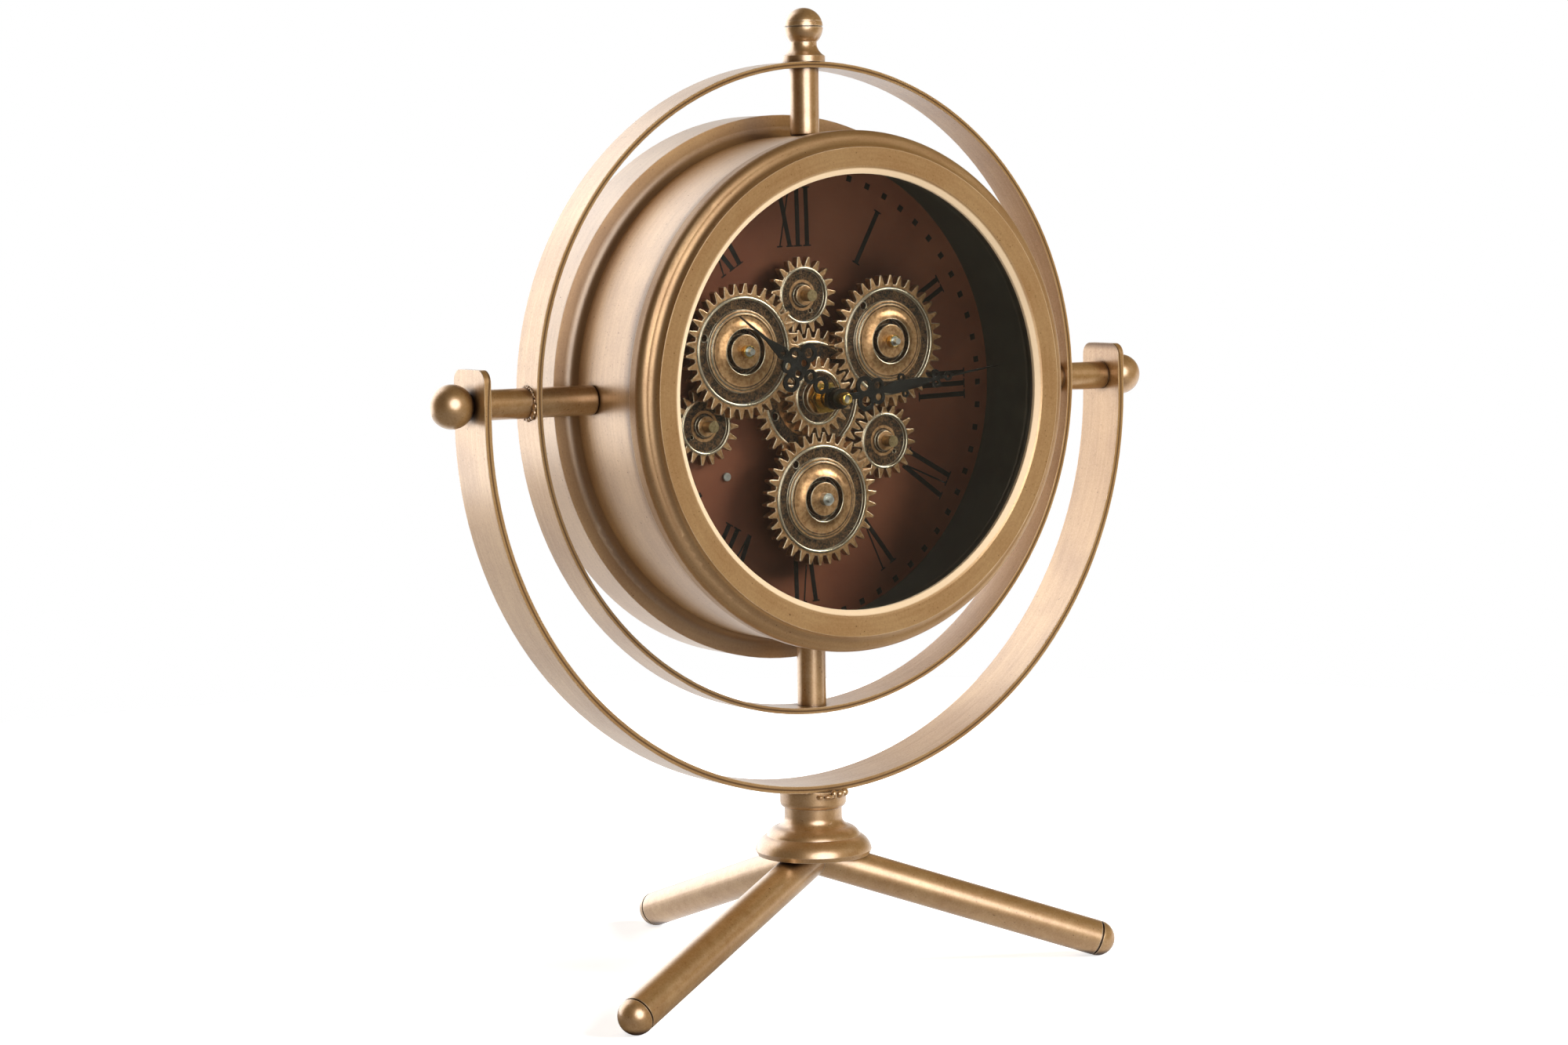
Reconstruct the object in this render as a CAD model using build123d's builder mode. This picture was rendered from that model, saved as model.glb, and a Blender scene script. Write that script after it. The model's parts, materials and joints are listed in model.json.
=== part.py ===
"""Table clock: a round case with show gears, held in a ring that tilts between the arms of a tripod yoke.

Millimetres. The origin is on the ground under the column, +Z is up and the dial faces -Y.
"""
from build123d import *
from math import cos, pi, radians, sin, sqrt, tan
import os

os.makedirs("parts", exist_ok=True)

# Fits
running_clearance = 0.05
seat_clearance = 0.05
end_play = 0.3
overrun = 2.0

# Stand
leg_diameter = 15.0
leg_wall = 1.2
leg_reach = 124.3
leg_slope = 19.0
leg_seat_height = 1.0
front_leg_bearing = 21.0
foot_flat_depth = 0.3
cap_seam = 0.9
cap_spigot_length = 6.0
flange_diameter = 48.6
flange_edge = 2.0
flange_rise = 8.2
shoulder_diameter = 39.0
shoulder_rise = 11.8
flare_diameter = 30.8
neck_rise = 16.0
neck_diameter = 24.0
neck_length = 4.0
collar_diameter = 27.6
collar_height = 7.5
collar_round = 2.2
yoke_band = 3.0
yoke_width = 24.0
yoke_drop = 7.0
arm_rise = 14.0
arm_corner = 5.0

# Ring, pivots and posts
post_length = 27.5
post_diameter = 12.0
post_round = 1.0
ring_band = 2.5
ring_width = 16.0
pivot_tube_length = 22.2
stud_diameter = 6.0
stud_in_post = 9.0
stud_in_knob = 9.0
knob_diameter = 17.5
knob_standoff = 7.9
finial_base_diameter = 17.5
finial_base_height = 2.4
finial_neck_diameter = 10.8
finial_neck_height = 6.6
finial_neck_length = 1.5
finial_ball_diameter = 16.0
finial_groove = 0.5
finial_groove_gap = 2.4
finial_stud_length = 12.0
post_screw_diameter = 5.0
post_screw_length = 9.0
post_screw_head = 9.0
post_screw_head_height = 2.0
post_screw_seat = 0.15

# Case
glass_radius = 95.0
glass_thickness = 2.5
glass_overlap = 7.0
gasket_width = 4.0
liner_wall = 1.2
liner_setback = 0.3
case_rim = 9.0
case_wall = 1.5
barrel_front = 34.0
band_step = 9.0
band_shoulder = 4.8
band_width = 20.0
ledge_depth = 3.0
ledge_reach = 8.0
bezel_lip_width = 3.0
bezel_lip_height = 1.6
bezel_lip_thickness = 1.4
bezel_face_rise = 0.5
bezel_face_inset = 5.3
bezel_cove_inset = 1.6
bezel_cove_height = 3.7
bezel_bead_height = 3.8
bezel_skirt = 1.5
bezel_skirt_length = 4.0
bezel_groove_wall = 1.6
cover_thickness = 1.2
cover_gap = 0.5
cover_space = 6.4
cover_screw_count = 6
cover_screw_diameter = 3.0
cover_screw_head = 5.6
cover_screw_head_height = 1.6

# Dial and gears
arbor_drop = 3.0
dial_front = 7.5
dial_thickness = 1.2
dial_margin = 5.0
dial_screw_radius = 48.6
dial_screw_bearings = (220.6, 40.6)
dial_screw_head = 3.4
dial_screw_head_height = 1.2
dial_screw_diameter = 2.0
tab_width = 14.0
tab_overlap = 7.5
tab_bearings = (90.0, 210.0, 330.0)
gear_distance = 42.0
pinion_teeth = 20
large_teeth = 34
wheel_teeth = 35
small_teeth = 19
left_pinion_teeth = 23
addendum_share = 0.7
dedendum_share = 1.85
tooth_tip_share = 0.2
tooth_root_share = 0.6
large_bearings = {"right": 31.5, "left": 151.5, "bottom": 271.5}
top_small_bearing = 94.7
right_small_bearing = 331.7
left_small_bearing = 247.6
rear_layer_gap = 1.5
rear_layer = 3.2
middle_layer = 3.6
front_layer = 4.0
layer_gap = 1.0
gear_rim = 2.2
recess_depth = 1.2
gear_lip_width = 0.8
gear_lip_height = 0.5
large_boss_radius = 16.8
large_step_radius = 15.5
large_step_height = 0.5
large_dome_radius = 14.4
large_dome_inner = 9.3
large_dome_height = 1.8
large_dome_round = 7.2
large_hub_radius = 7.0
large_groove_depth = 1.6
small_hub_radius = 4.2
small_hub_height = 0.8
peep_hole_radius = 1.5
large_peep_bearings = {"right": 128.5, "left": 162.0, "bottom": 129.5}
small_peep_bearings = {"top_small_gear": 302.0, "right_small_gear": 320.0, "left_small_gear": 215.0}
wheel_peep_radius = 19.1
wheel_peep_bearing = 203.2
large_pin_diameter = 4.0
small_pin_diameter = 3.6
pin_shoulder = 1.4
pin_head_height = 1.0
collet_diameter = 5.2
collet_length = 2.4
pin_tip_diameter = 2.6
pin_tip_length = 2.2
small_cap_diameter = 4.8
small_cap_length = 5.0
sleeve_wall = 3.0
centre_hub_height = 1.7

# Movement, hands and drive
bush_diameter = 8.0
bush_tip_length = 1.5
bush_in_movement = 3.0
nut_width = 12.0
dial_nut_height = 2.0
gear_nut_height = 3.2
hour_tube_diameter = 5.2
hour_tube_tip_length = 1.0
arbor_diameter = 3.4
arbor_tip_length = 3.5
tube_in_movement = 8.0
hand_thickness = 0.8
hand_collar_length = 2.2
hour_hand_height = 5.8
minute_hand_height = 3.7
hour_hand_length = 58.0
minute_hand_margin = 14.5
hour_hand_bearing = 143.3
minute_hand_bearing = 7.5
hour_hub_radius = 4.6
minute_hub_radius = 4.2
cap_nut_diameter = 5.4
cap_nut_length = 4.6
movement_side = 56.0
movement_depth = 16.6
movement_gap = 0.3
cell_diameter = 14.2
cell_length = 50.5
cell_nub_diameter = 5.5
cell_nub_length = 1.0
cell_clearance = 0.4
cell_gap = 1.0
cell_drop = 18.0
contact_thickness = 0.4
contact_size = 9.0
knob_distance = 14.0
knob_bearing = 150.0
set_knob_diameter = 16.0
set_knob_length = 8.0
set_knob_gap = 1.0
set_shaft_diameter = 3.0
set_shaft_length = 5.0
set_hole_clearance = 3.0
motor_width = 36.0
motor_height = 26.0
motor_depth = 13.6
motor_gap = 3.0
can_diameter = 13.0
can_length = 24.0
box_gap = 15.6
box_wall = 1.2
lead_diameter = 1.6
lead_bend_radius = 5.0
lead_gap = 5.0
switch_width = 9.0
switch_height = 16.0
switch_depth = 5.0
slider_width = 5.0
slider_height = 4.0
slider_travel = 4.0
slider_stand = 1.5
slider_root = 2.5
slider_clearance = 0.3

# Radii that follow from the glass outward
barrel_radius = glass_radius + case_rim
barrel_inner = barrel_radius - case_wall
band_radius = barrel_radius + band_step
band_inner = band_radius - case_wall
band_cove = band_step - band_shoulder
dial_radius = glass_radius + dial_margin
liner_outer = dial_radius - liner_setback
liner_inner = liner_outer - liner_wall
tab_length = barrel_inner - dial_radius + tab_overlap
bezel_opening = glass_radius - glass_overlap
bezel_face_radius = barrel_radius - bezel_face_inset
bezel_cove_radius = barrel_radius - bezel_cove_inset
ring_inner = barrel_radius + post_length
ring_radius = ring_inner + ring_band
tube_end = ring_radius + pivot_tube_length
yoke_inner = tube_end + end_play
yoke_radius = yoke_inner + yoke_band
leg_radius = leg_diameter / 2
post_radius = post_diameter / 2
stud_radius = stud_diameter / 2
bush_radius = bush_diameter / 2
tube_bore_radius = arbor_diameter / 2 + running_clearance

# Heights that follow from the feet upward
foot_centre_height = leg_radius - foot_flat_depth
flange_bottom = foot_centre_height + leg_reach * tan(radians(leg_slope)) + leg_seat_height
yoke_bottom = flange_bottom + neck_rise + neck_length + collar_height
yoke_centre_height = yoke_bottom + yoke_radius
gimbal_height = yoke_centre_height + yoke_drop
arbor_height = gimbal_height - arbor_drop
gimbal_axis = Axis((0, 0, gimbal_height), (0, 1, 0))

# Depths behind the gimbal axis that follow from the dial and the barrel's front edge
bezel_cove_front = barrel_front + bezel_bead_height
bezel_face_front = bezel_cove_front + bezel_cove_height
bezel_lip_face = bezel_face_front - bezel_face_rise
bezel_lip_front = bezel_lip_face - bezel_lip_height
bezel_skirt_rear = barrel_front - bezel_skirt_length
glass_front = bezel_lip_front - bezel_lip_thickness
glass_rear = glass_front - glass_thickness
gasket_thickness = glass_rear - barrel_front
dial_rear = dial_front + dial_thickness
rear_back = dial_front - rear_layer_gap
rear_face = rear_back - rear_layer
middle_back = rear_face - layer_gap
middle_face = middle_back - middle_layer
front_back = middle_face - layer_gap
front_face = front_back - front_layer
step_face = front_face - large_step_height
dome_face = front_face - large_dome_height
centre_hub_face = front_face - centre_hub_height
bush_front = gear_nut_height + end_play + bush_tip_length - centre_hub_face
hour_hand_front = bush_front + hour_hand_height
hour_tube_front = hour_hand_front + hour_tube_tip_length
minute_hand_front = hour_hand_front + minute_hand_height
arbor_front = minute_hand_front + arbor_tip_length
movement_front = dial_rear + movement_gap
movement_rear = movement_front + movement_depth
ledge_rear = movement_rear + cover_space
cover_rear = ledge_rear + cover_thickness
band_rear = ledge_rear + ledge_depth
band_front = band_rear - band_width
barrel_rear = band_front - band_cove

# Gear teeth, hands and cells
gear_module = 2 * gear_distance / (pinion_teeth + large_teeth)
tooth_pitch = pi * gear_module
addendum = addendum_share * gear_module
dedendum = dedendum_share * gear_module
minute_hand_length = liner_inner - arbor_drop - minute_hand_margin
cell_pitch = cell_diameter + cell_gap
box_distance = movement_side / 2 + box_gap + box_wall + cell_pitch


def facing(depth, x=0.0, z=arbor_height, bearing=0.0):
    """Plane that faces the front (-Y) at a depth behind the gimbal axis, turned by a bearing."""
    turn = radians(bearing)
    return Plane(origin=(x, depth, z), x_dir=(cos(turn), 0, sin(turn)), z_dir=(0, -1, 0))


def section(x=0.0, z=gimbal_height):
    """Level plane for a turned profile: local x is the radius, local y the depth."""
    return Plane(origin=(x, 0, z), x_dir=(1, 0, 0), z_dir=(0, 0, 1))


def turning_axis(x=0.0, z=arbor_height):
    """Axis of a piece turned about a line that runs front to back."""
    return Axis((x, 0, z), (0, 1, 0))


def outward(bearing):
    """Plane through the gimbal centre that faces outward across the ring, for posts and studs."""
    turn = radians(bearing)
    return Plane(origin=(0, 0, gimbal_height), x_dir=(0, 1, 0), z_dir=(cos(turn), 0, sin(turn)))


def polar(distance, bearing, x=0.0, z=arbor_height):
    """Place on the dial at a distance and bearing from a point, the arbor if none is given."""
    turn = radians(bearing)
    return x + distance * cos(turn), z + distance * sin(turn)


def pitch_radius(teeth):
    return teeth * gear_module / 2


def tip_radius(teeth):
    return pitch_radius(teeth) + addendum


def root_radius(teeth):
    return pitch_radius(teeth) - dedendum


def meshed(bearing, driver_teeth, driver_phase, teeth):
    """Phase of a gear that meshes with its driver along a bearing: a tooth falls in the driver's gap."""
    driver_step = 360 / driver_teeth
    step = 360 / teeth
    part_of_step = ((bearing - driver_phase) / driver_step) % 1
    return bearing + 180 - step * (0.5 - part_of_step)


def toothed_disc(teeth, phase):
    """Outline of a gear with plain pointed teeth, drawn in the open sketch."""
    root = root_radius(teeth)
    sink = root - gear_rim
    Circle(root)
    with PolarLocations(0, teeth, start_angle=phase):
        Polygon(
            (sink, -tooth_root_share * tooth_pitch / 2),
            (root, -tooth_root_share * tooth_pitch / 2),
            (tip_radius(teeth), -tooth_tip_share * tooth_pitch / 2),
            (tip_radius(teeth), tooth_tip_share * tooth_pitch / 2),
            (root, tooth_root_share * tooth_pitch / 2),
            (sink, tooth_root_share * tooth_pitch / 2),
            align=None,
        )


def lip_ring(inner):
    """Outline of the narrow lip that stands round a gear's sunk ring, drawn in the open sketch."""
    Circle(inner + gear_lip_width)
    Circle(inner, mode=Mode.SUBTRACT)


def keep(builder, name):
    """Label a finished piece and write it out under its name."""
    builder.part.label = name
    export_step(builder.part, "parts/" + name + ".step")


# Column: collar under the yoke, neck, flared foot and the flange that the legs are welded to
flange_top = flange_bottom + flange_edge
collar_bottom = yoke_bottom - collar_height
flange_radius = flange_diameter / 2
shoulder_radius = shoulder_diameter / 2
flare_radius = flare_diameter / 2
column_neck_radius = neck_diameter / 2
collar_radius = collar_diameter / 2
with BuildPart() as column:
    with BuildSketch(Plane.XZ):
        with BuildLine():
            Polyline(
                (0, flange_bottom),
                (flange_radius - flange_edge / 2, flange_bottom),
                (flange_radius, flange_top),
            )
            RadiusArc(
                (flange_radius, flange_top),
                (shoulder_radius, flange_bottom + flange_rise),
                -flange_rise,
            )
            RadiusArc(
                (shoulder_radius, flange_bottom + flange_rise),
                (flare_radius, flange_bottom + shoulder_rise),
                -shoulder_rise / 2,
            )
            RadiusArc(
                (flare_radius, flange_bottom + shoulder_rise),
                (column_neck_radius, flange_bottom + neck_rise),
                neck_rise - shoulder_rise,
            )
            Polyline(
                (column_neck_radius, flange_bottom + neck_rise),
                (column_neck_radius, collar_bottom),
                (collar_radius - collar_round, collar_bottom),
            )
            RadiusArc(
                (collar_radius - collar_round, collar_bottom),
                (collar_radius, collar_bottom + collar_round),
                -collar_round,
            )
            Polyline(
                (collar_radius, collar_bottom + collar_round),
                (collar_radius, yoke_bottom + overrun),
                (0, yoke_bottom + overrun),
                (0, flange_bottom),
            )
        make_face()
    revolve(axis=Axis.Z)
    with BuildSketch(facing(yoke_width / 2 + overrun, z=yoke_centre_height)):
        Circle(yoke_radius)
    extrude(amount=yoke_width + 2 * overrun, mode=Mode.SUBTRACT)
keep(column, "column")

# Legs: sloping tubes cut under the flange and mitred against each other, each closed by a round end
leg_bearings = {"rear": 90.0, "front_left": 180.0 + front_leg_bearing, "front_right": -front_leg_bearing}
leg_length = leg_reach / cos(radians(leg_slope))
for leg_name, leg_bearing in leg_bearings.items():
    heading = radians(leg_bearing)
    level = cos(radians(leg_slope))
    inward = (-level * cos(heading), -level * sin(heading), sin(radians(leg_slope)))
    foot = (leg_reach * cos(heading), leg_reach * sin(heading), foot_centre_height)
    foot_plane = Plane(origin=foot, x_dir=(-sin(heading), cos(heading), 0), z_dir=inward)
    with BuildPart() as leg:
        with BuildSketch(foot_plane.offset(cap_seam)):
            Circle(leg_radius)
            Circle(leg_radius - leg_wall, mode=Mode.SUBTRACT)
        extrude(amount=leg_length)
        split(bisect_by=Plane.XY.offset(flange_bottom), keep=Keep.BOTTOM)
        for other_bearing in leg_bearings.values():
            if other_bearing != leg_bearing:
                other = radians(other_bearing)
                away = (cos(heading) - cos(other), sin(heading) - sin(other), 0)
                mitre = Plane(origin=(0, 0, 0), z_dir=away).offset(seat_clearance)
                split(bisect_by=mitre, keep=Keep.TOP)
    keep(leg, "leg_" + leg_name)

    with BuildPart() as foot_cap:
        with BuildSketch(foot_plane):
            Circle(leg_radius - leg_wall - seat_clearance)
        extrude(amount=cap_spigot_length)
        with Locations(foot_plane):
            Sphere(leg_radius, arc_size1=-90, arc_size2=0, align=(Align.CENTER, Align.CENTER, Align.MAX))
        split(bisect_by=Plane.XY, keep=Keep.TOP)
    keep(foot_cap, "foot_cap_" + leg_name)

# Yoke: a flat band bent to a U, with straight arms that carry the pivot studs
with BuildPart() as yoke:
    with BuildSketch(facing(yoke_width / 2, z=yoke_centre_height)):
        with BuildLine():
            Line((-yoke_radius, yoke_drop + arm_rise), (-yoke_radius, 0))
            ThreePointArc((-yoke_radius, 0), (0, -yoke_radius), (yoke_radius, 0))
            Polyline(
                (yoke_radius, 0),
                (yoke_radius, yoke_drop + arm_rise),
                (yoke_inner, yoke_drop + arm_rise),
                (yoke_inner, 0),
            )
            ThreePointArc((yoke_inner, 0), (0, -yoke_inner), (-yoke_inner, 0))
            Polyline(
                (-yoke_inner, 0),
                (-yoke_inner, yoke_drop + arm_rise),
                (-yoke_radius, yoke_drop + arm_rise),
            )
        make_face()
    extrude(amount=yoke_width)
    arm_top_edges = yoke.edges().filter_by(Axis.X).group_by(Axis.Z)[-1]
    fillet(arm_top_edges, radius=arm_corner)
    with BuildSketch(outward(0).offset(-yoke_radius - overrun)):
        Circle(stud_radius + running_clearance)
    extrude(amount=2 * (yoke_radius + overrun), mode=Mode.SUBTRACT)
keep(yoke, "yoke")

# Ring: a flat band around the case, drilled at both sides for the studs and on top for the finial
with BuildPart() as gimbal_ring:
    with BuildSketch(facing(ring_width / 2, z=gimbal_height)):
        Circle(ring_radius)
        Circle(ring_inner, mode=Mode.SUBTRACT)
    extrude(amount=ring_width)
    for bearing in (0, 90, 180):
        with BuildSketch(outward(bearing).offset(ring_inner - overrun)):
            Circle(stud_radius + seat_clearance)
        extrude(amount=ring_band + 2 * overrun, mode=Mode.SUBTRACT)
keep(gimbal_ring, "gimbal_ring")

# Posts between ring and case: coped to the ring, rounded at the drum, bored for the stud and the screw
post_bearings = {"side_post_right": 0, "top_post": 90, "side_post_left": 180, "bottom_post": 270}
for post_name, bearing in post_bearings.items():
    with BuildPart() as post:
        with BuildSketch(outward(bearing).offset(barrel_radius)):
            Circle(post_radius)
        extrude(amount=ring_radius - barrel_radius)
        inner_end = post.faces().sort_by(Axis((0, 0, gimbal_height), outward(bearing).z_dir))[0]
        fillet(inner_end.edges(), radius=post_round)
        with BuildSketch(facing(ring_width, z=gimbal_height)):
            Circle(ring_inner)
        extrude(amount=2 * ring_width, mode=Mode.INTERSECT)
        if post_name != "bottom_post":
            with BuildSketch(outward(bearing).offset(ring_inner + overrun)):
                Circle(stud_radius + seat_clearance)
            extrude(amount=-(stud_in_post + 2 * overrun), mode=Mode.SUBTRACT)
        with BuildSketch(outward(bearing).offset(barrel_inner)):
            Circle(post_screw_diameter / 2 + seat_clearance)
        extrude(amount=post_screw_length + overrun, mode=Mode.SUBTRACT)
    keep(post, post_name)

# Post screws: driven from inside the drum wall into the four posts
with BuildPart() as post_screws:
    for bearing in post_bearings.values():
        with BuildSketch(outward(bearing).offset(barrel_inner - post_screw_seat)):
            Circle(post_screw_diameter / 2)
        extrude(amount=post_screw_length + post_screw_seat)
        with BuildSketch(outward(bearing).offset(barrel_inner - post_screw_seat)):
            Circle(post_screw_head / 2)
        extrude(amount=-post_screw_head_height)
keep(post_screws, "post_screws")

# Pivots: tubes welded to the ring, studs through the yoke arms and ball knobs that close them
pivot_sides = {"right": 0, "left": 180}
knob_seat = yoke_radius + end_play
knob_centre = yoke_radius + knob_standoff
knob_radius = knob_diameter / 2
for side, bearing in pivot_sides.items():
    with BuildPart() as pivot_tube:
        with BuildSketch(outward(bearing).offset(ring_inner)):
            Circle(post_radius)
            Circle(stud_radius + seat_clearance, mode=Mode.SUBTRACT)
        extrude(amount=tube_end - ring_inner)
        with BuildSketch(facing(ring_width, z=gimbal_height)):
            Circle(ring_radius)
        extrude(amount=2 * ring_width, mode=Mode.SUBTRACT)
    keep(pivot_tube, "pivot_tube_" + side)

    with BuildPart() as ball_knob:
        with Locations(outward(bearing).offset(knob_centre)):
            Sphere(knob_radius)
        split(bisect_by=outward(bearing).offset(knob_seat), keep=Keep.TOP)
        with BuildSketch(outward(bearing).offset(knob_seat - overrun)):
            Circle(stud_radius + seat_clearance)
        extrude(amount=overrun + stud_in_knob + seat_clearance, mode=Mode.SUBTRACT)
    keep(ball_knob, "ball_knob_" + side)

with BuildPart() as pivot_studs:
    for bearing in pivot_sides.values():
        with BuildSketch(outward(bearing).offset(ring_inner - stud_in_post)):
            Circle(stud_radius)
        extrude(amount=knob_seat + stud_in_knob - ring_inner + stud_in_post)
keep(pivot_studs, "pivot_studs")

# Finial: turned ball on a waisted neck, with two scribed lines and a stud into the top post
finial_ball_radius = finial_ball_diameter / 2
neck_radius = finial_neck_diameter / 2
neck_meets_ball = finial_neck_height + finial_neck_length
finial_ball_centre = neck_meets_ball + sqrt(finial_ball_radius**2 - neck_radius**2)
finial_height = finial_ball_centre + finial_ball_radius
with BuildPart() as finial:
    with BuildSketch(facing(0, z=gimbal_height + ring_radius)):
        with BuildLine():
            Polyline(
                (0, -overrun),
                (finial_base_diameter / 2, -overrun),
                (finial_base_diameter / 2, finial_base_height),
            )
            RadiusArc(
                (finial_base_diameter / 2, finial_base_height),
                (neck_radius, finial_neck_height),
                finial_neck_height,
            )
            Line((neck_radius, finial_neck_height), (neck_radius, neck_meets_ball))
            ThreePointArc(
                (neck_radius, neck_meets_ball),
                (finial_ball_radius, finial_ball_centre),
                (0, finial_height),
            )
            Line((0, finial_height), (0, -overrun))
        make_face()
    revolve(axis=Axis.Z)
    for lift in (0, finial_groove_gap):
        with BuildSketch(Plane.XY.offset(gimbal_height + ring_radius + finial_ball_centre + lift)):
            Circle(finial_ball_radius + overrun)
            Circle(finial_ball_radius - finial_groove, mode=Mode.SUBTRACT)
        extrude(amount=finial_groove, mode=Mode.SUBTRACT)
    with BuildSketch(facing(ring_width, z=gimbal_height)):
        Circle(ring_radius)
    extrude(amount=2 * ring_width, mode=Mode.SUBTRACT)
    with BuildSketch(outward(90).offset(ring_radius + finial_base_height)):
        Circle(stud_radius)
    extrude(amount=-(finial_stud_length + finial_base_height - end_play))
keep(finial, "finial")

# Case drum: a straight thin tube, drilled for the four post screws
with BuildPart() as case_drum:
    with BuildSketch(facing(barrel_rear, z=gimbal_height)):
        Circle(barrel_radius)
        Circle(barrel_inner, mode=Mode.SUBTRACT)
    extrude(amount=barrel_rear + barrel_front)
    for bearing in post_bearings.values():
        with BuildSketch(outward(bearing).offset(barrel_inner - overrun)):
            Circle(post_screw_diameter / 2 + seat_clearance)
        extrude(amount=case_wall + 2 * overrun, mode=Mode.SUBTRACT)
keep(case_drum, "case_drum")

# Case band: a turned shell welded behind the drum, flared by a cove, with a ledge for the back cover
with BuildPart() as case_band:
    with BuildSketch(section()):
        with BuildLine():
            Line((barrel_inner, barrel_rear), (barrel_radius, barrel_rear))
            RadiusArc(
                (barrel_radius, barrel_rear),
                (barrel_radius + band_cove, band_front),
                band_cove,
            )
            Polyline(
                (barrel_radius + band_cove, band_front),
                (band_radius, band_front),
                (band_radius, band_rear),
                (band_inner, band_rear),
                (band_inner, ledge_rear),
                (band_inner - ledge_reach, ledge_rear),
                (band_inner - ledge_reach, ledge_rear - case_wall),
                (band_inner, ledge_rear - case_wall),
                (band_inner, band_front + case_wall),
                (barrel_radius + band_cove, band_front + case_wall),
            )
            RadiusArc(
                (barrel_radius + band_cove, band_front + case_wall),
                (barrel_inner, barrel_rear),
                -(band_cove + case_wall),
            )
        make_face()
    revolve(axis=gimbal_axis)
    with BuildSketch(facing(band_rear, z=gimbal_height)):
        with PolarLocations(band_inner - ledge_reach / 2, cover_screw_count):
            Circle(cover_screw_diameter / 2 + seat_clearance)
    extrude(amount=ledge_depth + case_wall + overrun, mode=Mode.SUBTRACT)
keep(case_band, "case_band")

# Bezel: turned ring with a narrow lip over the glass, a sloped face, a cove and a bead
skirt_radius = barrel_radius + bezel_skirt
pocket_radius = glass_radius + seat_clearance
with BuildPart() as bezel:
    with BuildSketch(section()):
        with BuildLine():
            Polyline(
                (bezel_opening, -glass_front),
                (bezel_opening, -bezel_lip_front),
                (bezel_opening + bezel_lip_width, -bezel_lip_face),
                (bezel_face_radius, -bezel_face_front),
            )
            RadiusArc(
                (bezel_face_radius, -bezel_face_front),
                (bezel_cove_radius, -bezel_cove_front),
                bezel_face_front - bezel_cove_front,
            )
            RadiusArc(
                (bezel_cove_radius, -bezel_cove_front),
                (skirt_radius, -barrel_front),
                -(bezel_cove_front - barrel_front),
            )
            Polyline(
                (skirt_radius, -barrel_front),
                (skirt_radius, -bezel_skirt_rear),
                (barrel_radius + seat_clearance, -bezel_skirt_rear),
                (barrel_radius + seat_clearance, -barrel_front - seat_clearance),
                (pocket_radius, -barrel_front - seat_clearance),
                (pocket_radius, -glass_front),
                (bezel_opening, -glass_front),
            )
        make_face()
    revolve(axis=gimbal_axis)
    with BuildSketch(facing(-barrel_front, z=gimbal_height)):
        Circle(bezel_cove_radius - bezel_groove_wall)
        Circle(pocket_radius + bezel_groove_wall, mode=Mode.SUBTRACT)
    extrude(amount=bezel_cove_front - barrel_front, mode=Mode.SUBTRACT)
keep(bezel, "bezel")

# Glass, its gasket and the dark liner, whose flange holds both from behind and whose wall stands on the dial
with BuildPart() as glass:
    with BuildSketch(facing(-glass_rear, z=gimbal_height)):
        Circle(glass_radius)
    extrude(amount=glass_thickness)
keep(glass, "glass")

with BuildPart() as glass_gasket:
    with BuildSketch(facing(-barrel_front, z=gimbal_height)):
        Circle(glass_radius)
        Circle(glass_radius - gasket_width, mode=Mode.SUBTRACT)
    extrude(amount=gasket_thickness)
keep(glass_gasket, "glass_gasket")

with BuildPart() as dial_liner:
    with BuildSketch(section()):
        with BuildLine():
            Polyline(
                (liner_inner, dial_front),
                (liner_outer, dial_front),
                (liner_outer, -barrel_front),
                (glass_radius - gasket_width, -barrel_front),
                (glass_radius - gasket_width, liner_wall - barrel_front),
                (liner_inner, liner_wall - barrel_front),
                (liner_inner, dial_front),
            )
        make_face()
    revolve(axis=gimbal_axis)
keep(dial_liner, "dial_liner")

# Gear train: where each gear sits and how its teeth are turned
large_phases = {}
large_places = {}
for gear_name, bearing in large_bearings.items():
    large_places[gear_name] = polar(gear_distance, bearing)
    large_phases[gear_name] = meshed(bearing, pinion_teeth, 0, large_teeth)
small_spacing = pitch_radius(wheel_teeth) + pitch_radius(small_teeth)
left_spacing = pitch_radius(left_pinion_teeth) + pitch_radius(small_teeth)
left_pinion_phase = 0
small_gears = {
    "top_small_gear": (
        polar(small_spacing, top_small_bearing),
        meshed(top_small_bearing, wheel_teeth, 0, small_teeth),
        middle_back,
        middle_layer,
    ),
    "right_small_gear": (
        polar(small_spacing, right_small_bearing),
        meshed(right_small_bearing, wheel_teeth, 0, small_teeth),
        middle_back,
        middle_layer,
    ),
    "left_small_gear": (
        polar(left_spacing, left_small_bearing, *large_places["left"]),
        meshed(left_small_bearing, left_pinion_teeth, left_pinion_phase, small_teeth),
        rear_back,
        rear_layer,
    ),
}
large_pin_radius = large_pin_diameter / 2
small_pin_radius = small_pin_diameter / 2

# Holes through the dial: gear pins, the drive shaft and the screws
dial_holes = [(*large_places[name], large_pin_radius + seat_clearance) for name in ("right", "left")]
dial_holes += [(*place, small_pin_radius + seat_clearance) for place, *_ in small_gears.values()]
dial_holes.append((*large_places["bottom"], large_pin_radius + pin_shoulder + end_play))
for bearing in dial_screw_bearings:
    dial_holes.append((*polar(dial_screw_radius, bearing), dial_screw_diameter / 2 + seat_clearance))

# Dial plate: carries the bush, the gear pins and the drive shaft
with BuildPart() as dial_plate:
    with BuildSketch(facing(dial_rear, z=gimbal_height)):
        Circle(dial_radius)
    extrude(amount=dial_thickness)
    with BuildSketch(facing(dial_rear)):
        Circle(bush_radius + seat_clearance)
        for x, z, hole_radius in dial_holes:
            with Locations((x, z - arbor_height)):
                Circle(hole_radius)
    extrude(amount=dial_thickness, mode=Mode.SUBTRACT)
keep(dial_plate, "dial_plate")

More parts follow.
